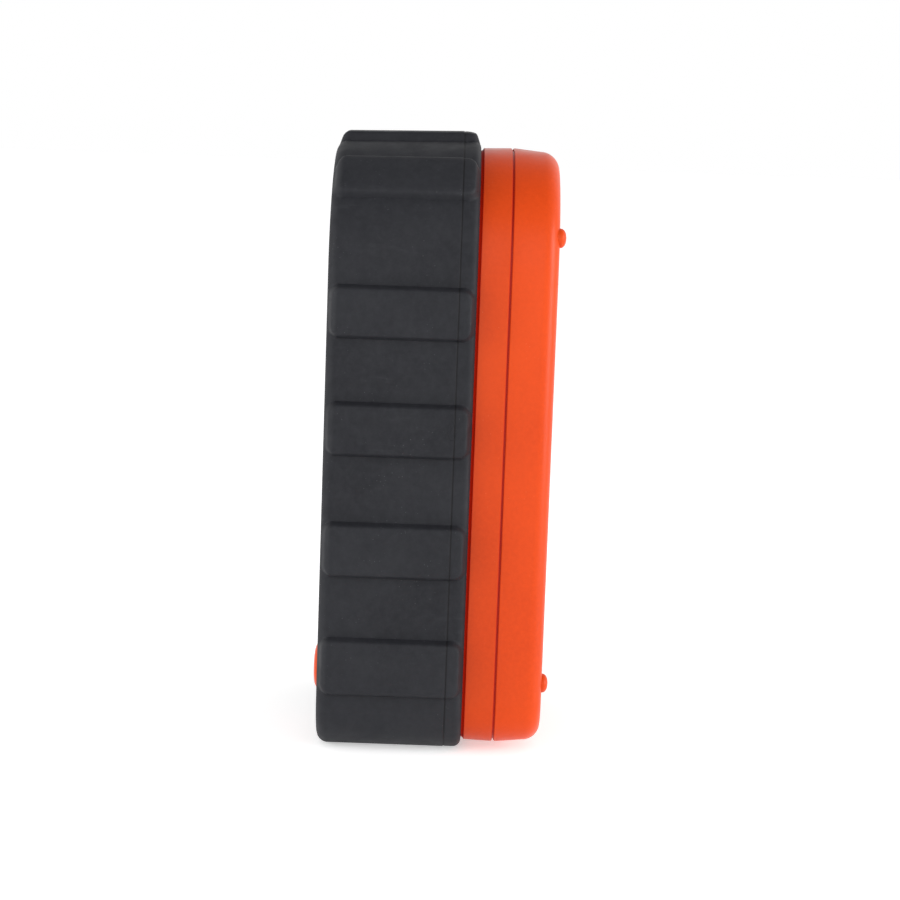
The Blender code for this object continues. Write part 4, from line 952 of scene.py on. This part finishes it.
# ---- controls ----
def make_knob():
    """Selector: dished disc with a scalloped rim, a waisted finger bar and a white pointer line."""
    radius = 22.8 * MM
    profile = steps_from(0.0, 0.0, (
        (0.0, 5.5), (12.0, 5.55), (17.0, 5.35), (19.4, 4.85), (20.6, 4.6), (21.6, 4.72), (22.3, 5.15),
        (22.8, 6.0), (22.8, 9.4), (22.5, 9.6), (4.0, 9.6), (4.0, 22.6), (0.0, 22.6)))
    form = add_turned(bmesh.new(), (DIAL_X, DIAL_Z), profile, 144)
    for vert in form.verts:
        away = Vector((vert.co.x - DIAL_X, vert.co.z - DIAL_Z))
        if away.length > 20.8 * MM:
            wave = 0.5 + 0.5 * math.cos(36 * math.atan2(away.y, away.x))
            shrink = 1 - 0.35 * MM * (1 - wave) ** 2 / radius
            vert.co.x = DIAL_X + away.x * shrink
            vert.co.z = DIAL_Z + away.y * shrink
    piece("selector_disc", form, KNOB, "selector", ["selector_knob"])
    bar = bmesh.new()
    levels = ((7.0, 6.2, 20.3, 5.6), (5.4, 5.9, 20.2, 5.4), (3.6, 5.0, 20.0, 4.6), (1.8, 4.1, 19.7, 3.9),
              (1.0, 3.6, 19.4, 3.4), (0.62, 3.0, 18.9, 2.9), (0.5, 2.3, 18.2, 2.2))
    rings = []
    for depth, half_w, half_h, corner in levels:
        ring = []
        for x, z in rounded_rectangle(half_w * MM, half_h * MM, corner * MM * 0.98, 10):
            waist = 1.0 - 0.16 * math.cos(math.pi * z / (2 * half_h * MM)) ** 2
            ring.append(bar.verts.new((DIAL_X + x * waist, y_at(depth * MM), DIAL_Z + z)))
        rings.append(ring)
    join_rings(bar, rings, closed=False)
    piece("selector_bar", bar, KNOB, "selector")
    line = (0.55 * MM, 4.6 * MM, 0.5 * MM)
    pointer = add_stack(bmesh.new(), (DIAL_X, DIAL_Z + 12.6 * MM), [(0.9 * MM, *line), (0.44 * MM, *line)], 5)
    piece("selector_pointer", pointer, INK, "selector")


def make_keys():
    """Soft keys with rounded edges, a dished top and a printed sign."""
    half_w, half_h = KEY_HALF
    for name, body in KEYS.items():
        front = depths_of(name)[0]
        rings = inset_rings(0.0, half_w, half_h, ((7.9, -1, 1.9), (6.9, -1, 1.9), (6.8, 0, 1.6)))
        rings += inset_rings(front, half_w, half_h, (
            (0.9, 0, 1.6), (0.5, 0.08, 1.56), (0.2, 0.28, 1.46), (0.05, 0.6, 1.3), (0, 1.0, 1.1)))
        rings.append((front + 0.16 * MM, half_w - 2.2 * MM, half_h - 1.9 * MM, 0.6 * MM))
        piece(name + "_cap", add_stack(bmesh.new(), place_of(name), rings), KEY, body, [name])
    signs = {"hold_key": "H", "range_key": "<>", "relative_key": "Δ"}
    for name, words in signs.items():
        sign = bmesh.new()
        text_mesh(sign, words, place_of(name), 3.0 * MM, depths_of(name)[0] + 0.12 * MM)
        piece(name + "_sign", sign, INK, KEYS[name])
    sign = bmesh.new()
    x, z = place_of("light_key")
    depth = depths_of("light_key")[0] + 0.14 * MM
    add_strip(sign, arc((x, z), 0.75 * MM, 0, 360, 16), 0.3 * MM, depth)
    for step in range(8):
        angle = step * math.pi / 4
        ray = [(x + reach * math.cos(angle), z + reach * math.sin(angle)) for reach in (1.15 * MM, 1.7 * MM)]
        add_strip(sign, ray, 0.28 * MM, depth)
    piece("light_key_sign", sign, INK, "light")


def make_button():
    """Domed push button."""
    tip = depths_of("push_button")[0]
    profile = [(0.0, tip)]
    dome = 1.9 * MM
    for angle in quarter_turn(18, 1):
        profile.append((BUTTON_RADIUS * math.sin(angle) ** 0.45, tip + dome * (1 - math.cos(angle) ** 0.9)))
    profile += steps_from(BUTTON_RADIUS, 0.0, ((0, 6.8), (1.2, 6.8), (1.2, 7.6)))
    profile.append((0.0, 7.6 * MM))
    form = add_turned(bmesh.new(), (BUTTON.x, BUTTON.z), profile, 72)
    piece("button_dome", form, BUTTON_ORANGE, "button", ["push_button"])


def make_sockets():
    """Shrouds with rounded mouths and chamfered brass sleeves."""
    for name in SOCKETS:
        centre = (node_middle(name + "_shroud").x, SOCKET_Z)
        low, high = depths_of(name + "_shroud")
        profile = steps_from(SOCKET_WELL, low, ((0, 0.5), (0.15, 0.15), (0.5, 0)))
        profile += steps_from(SOCKET_WALL, low, ((-0.4, 0), (-0.1, 0.12), (0, 0.4)))
        profile += [(SOCKET_WALL, high), (3.3 * MM, high)]
        profile += [(3.3 * MM, high - 2 * MM), (SOCKET_WELL, high - 2 * MM)]
        look = BLACK_PART if name != "voltage_socket" else RED_RING
        well = add_turned(bmesh.new(), centre, profile, 72)
        piece(name + "_well", well, look, "housing", [name + "_shroud"])
        low, high = depths_of(name + "_sleeve")
        outer, inner = 3.0 * MM, 2.05 * MM
        profile = [(inner, high)] + steps_from(inner, low, ((0, 0.5), (0.35, 0)))
        profile += steps_from(outer, low, ((-0.2, 0), (0, 0.2))) + [(outer, high)]
        sleeve = add_turned(bmesh.new(), centre, profile, 48)
        piece(name + "_tube", sleeve, BRASS, "housing", [name + "_sleeve"])


# ---- back ----
def make_door():
    """Battery door: rounded plate with a thumb panel of fine ribs, and its rim inside."""
    half_w, half_h = DOOR_HALF
    form = add_stack(bmesh.new(), DOOR_CENTRE, inset_rings(REAR_DEPTH, half_w, half_h, (
        (-1.3, 0, 2.0), (-0.35, 0, 2.0), (-0.1, 0.12, 2.0), (0, 0.35, 2.0))))
    plate = piece("door_plate", form, ORANGE, "door", ["battery_door"])
    cutter = bmesh.new()
    add_rod(cutter, (0.0, DOOR_SCREW_Z), (REAR_DEPTH - 0.8 * MM, REAR_DEPTH + 1 * MM), 2.8 * MM, 48)
    for row in range(7):
        groove_z = DOOR_HIGH.z - (8.0 + 2.2 * row) * MM
        add_stack(cutter, (0.0, groove_z), [(REAR_DEPTH - 0.45 * MM, 11 * MM, 0.4 * MM, 0.38 * MM),
                                            (REAR_DEPTH + 0.5 * MM, 11.3 * MM, 0.65 * MM, 0.6 * MM)], 4)
    cut(plate, cutter)
    inner = (half_w - 1.6 * MM, half_h - 4.4 * MM, 1.8 * MM)
    rings = [(REAR_DEPTH - depth * MM, *inner) for depth in (3.0, 1.32)]
    rim = add_stack(bmesh.new(), DOOR_INNER_CENTRE, rings)
    piece("door_rim", rim, ORANGE, "door")


def make_screw(name, body):
    """Pan head with a cross recess, on its shank."""
    low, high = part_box(name)
    x, z = (low.x + high.x) / 2, (low.z + high.z) / 2
    start, end = depths_of(name)
    head = (high.x - low.x) / 2
    shank = head * 0.48
    profile = [(0.0, start), (shank * 0.6, start)]
    threads = int((end - start - 2.6 * MM) / (0.9 * MM))
    for turn in range(threads):
        profile += [(shank, start + (0.45 + 0.9 * turn) * MM), (shank * 0.8, start + (0.9 + 0.9 * turn) * MM)]
    profile += [(shank, end - 1.6 * MM), (head, end - 1.6 * MM), (head, end - 0.9 * MM)]
    for degrees in (20, 40, 60, 78):
        angle = math.radians(degrees)
        profile.append((head * math.cos(angle), end - 0.9 * MM + 0.9 * MM * math.sin(angle)))
    profile.append((0.0, end))
    form = add_turned(bmesh.new(), (x, z), profile, 40)
    screw = piece(name + "_fine", form, STEEL, body, [name])
    cutter = bmesh.new()
    for half_w, half_h in ((0.32 * MM, 1.5 * MM), (1.5 * MM, 0.32 * MM)):
        add_box(cutter, (x - half_w, x + half_w), (end - 1.0 * MM, end + 1 * MM), (z - half_h, z + half_h))
    cut(screw, cutter)


def make_stand():
    """Tilt stand: rounded plate with a shallow panel, grip ridges at its free end and two hinge stubs."""
    low, high = STAND_LOW.z, HINGE_Z + 1.0 * MM
    half_h = (high - low) / 2
    front_edge = ((0, 0.45, 2.6), (0.15, 0.15, 2.6), (0.5, 0, 2.6))
    rear_edge = ((-0.5, 0, 2.6), (-0.15, 0.15, 2.6), (0, 0.45, 2.6))
    rings = inset_rings(REAR_DEPTH - 2.6 * MM, STAND_X, half_h, front_edge)
    rings += inset_rings(REAR_DEPTH, STAND_X, half_h, rear_edge)
    form = add_stack(bmesh.new(), (0.0, (low + high) / 2), rings)
    stand = piece("stand_leg", form, ORANGE, "stand", ["tilt_stand"])
    panel_low, panel_high = low + 9 * MM, HINGE_Z - 7 * MM
    panel_half = (panel_high - panel_low) / 2
    cutter = add_stack(bmesh.new(), (0.0, (panel_low + panel_high) / 2), inset_rings(
        REAR_DEPTH, 20.0 * MM, panel_half, ((-0.7, 0.3, 2.6), (-0.5, 0, 2.9), (1, -0.6, 3.4))))
    for row in range(4):
        add_stack(cutter, (0.0, low + (1.9 + 1.6 * row) * MM), [
            (REAR_DEPTH - 0.4 * MM, 9 * MM, 0.32 * MM, 0.3 * MM),
            (REAR_DEPTH + 0.5 * MM, 9.2 * MM, 0.55 * MM, 0.5 * MM)], 4)
    cut(stand, cutter)
    stubs = bmesh.new()
    for side in (-1, 1):
        place = Matrix.Translation((side * (STAND_X + 1.2 * MM), y_at(REAR_DEPTH - 1.3 * MM), HINGE_Z))
        bmesh.ops.create_cone(stubs, cap_ends=True, segments=40, radius1=1.6 * MM, radius2=1.6 * MM,
                              depth=3.0 * MM, matrix=place @ Matrix.Rotation(math.pi / 2, 4, 'Y'))
    rims = [edge for edge in stubs.edges if any(len(face.verts) > 4 for face in edge.link_faces)]
    bmesh.ops.bevel(stubs, geom=rims, offset=0.25 * MM, segments=2, profile=0.5, affect='EDGES')
    piece("stand_stubs", stubs, ORANGE, "stand")


# ---- camera, light and floor ----
CAMERA_ELEVATION = 7.654
CAMERA_ROLL = 2.06
CAMERA_DISTANCE = 611.1 * MM
AIM_Y = 3.02 * MM
AIM_Z = 74.3 * MM
FOCAL_RATIO = 2.5                    # focal length over sensor width


def make_camera():
    data = bpy.data.cameras.new("photo_view")
    data.sensor_width = 36.0
    data.lens = 36.0 * FOCAL_RATIO
    data.clip_start = 0.01
    data.clip_end = 20.0
    camera = add_object("photo_view", data)
    elevation = math.radians(CAMERA_ELEVATION)
    toward = Vector((math.cos(elevation), 0.0, math.sin(elevation)))
    camera.location = Vector((0.0, AIM_Y, AIM_Z)) + CAMERA_DISTANCE * toward
    look = (-toward).to_track_quat('-Z', 'Y').to_matrix().to_4x4()
    roll = Matrix.Rotation(math.radians(CAMERA_ROLL), 4, 'Z')
    camera.matrix_world = Matrix.Translation(camera.location) @ look @ roll
    bpy.context.scene.camera = camera


def add_area(name, position, size, power):
    """A soft light aimed at the middle of the meter."""
    data = bpy.data.lights.new(name, 'AREA')
    data.shape = 'RECTANGLE'
    data.size, data.size_y = size
    data.energy = power
    light = add_object(name, data)
    light.location = position
    direction = Vector((0.0, 0.0, 0.08)) - Vector(position)
    light.rotation_euler = direction.to_track_quat('-Z', 'Y').to_euler()


def make_stage():
    """A pale lit table that meets a white surround, and soft lights at both sides."""
    form = bmesh.new()
    bmesh.ops.create_grid(form, x_segments=8, y_segments=8, size=40.0)
    mesh = bpy.data.meshes.new("studio_floor")
    form.to_mesh(mesh)
    form.free()
    floor = add_object("studio_floor", mesh)
    floor.location.z = CAD_LOW.z
    look = Look("floor_paper")
    look.colour(look.ramp(look.noise(3.0, 2.0), (0.3, 0.7), ((0.88, 0.88, 0.88), (0.90, 0.90, 0.90))))
    look.rough(0.8, 0.9, look.noise(40.0))
    look.set(Emission_Color=(1.0, 1.0, 1.0, 1.0), Emission_Strength=0.46, Specular_IOR_Level=0.1)
    mesh.materials.append(look.material)
    make_world()
    add_area("rear_side", (0.30, 1.15, 0.25), (0.5, 0.8), 11.0)
    add_area("front_side", (0.40, -1.1, 0.25), (0.6, 0.8), 6.5)
    add_area("camera_side", (1.1, 0.1, 0.45), (0.8, 0.8), 2.0)


def make_world():
    """White all round the horizon, darker overhead."""
    world = bpy.data.worlds.new("studio")
    bpy.context.scene.world = world
    world.use_nodes = True
    tree = world.node_tree
    direction = tree.nodes.new("ShaderNodeTexCoord").outputs["Generated"]
    split = tree.nodes.new("ShaderNodeSeparateXYZ")
    ramp = tree.nodes.new("ShaderNodeValToRGB")
    horizon, overhead = ramp.color_ramp.elements
    horizon.position, horizon.color = 0.42, (1.0, 1.0, 1.0, 1.0)
    overhead.position, overhead.color = 0.95, (0.38, 0.38, 0.38, 1.0)
    tree.links.new(direction, split.inputs["Vector"])
    tree.links.new(split.outputs["Z"], ramp.inputs["Fac"])
    tree.links.new(ramp.outputs["Color"], tree.nodes["Background"].inputs["Color"])


dress_cad_nodes()
make_bumper()
make_gate_mark()
make_front_shell()
make_rear_shell()
make_feet()
make_faceplate()
make_dial_print()
make_socket_print()
make_window()
make_segments()
make_knob()
make_keys()
make_button()
make_sockets()
make_door()
for screw_name in SCREWS:
    make_screw(screw_name, "housing")
make_screw("battery_door_screw", "door")
make_stand()
make_camera()
make_stage()
bpy.context.scene.view_settings.view_transform = 'Standard'
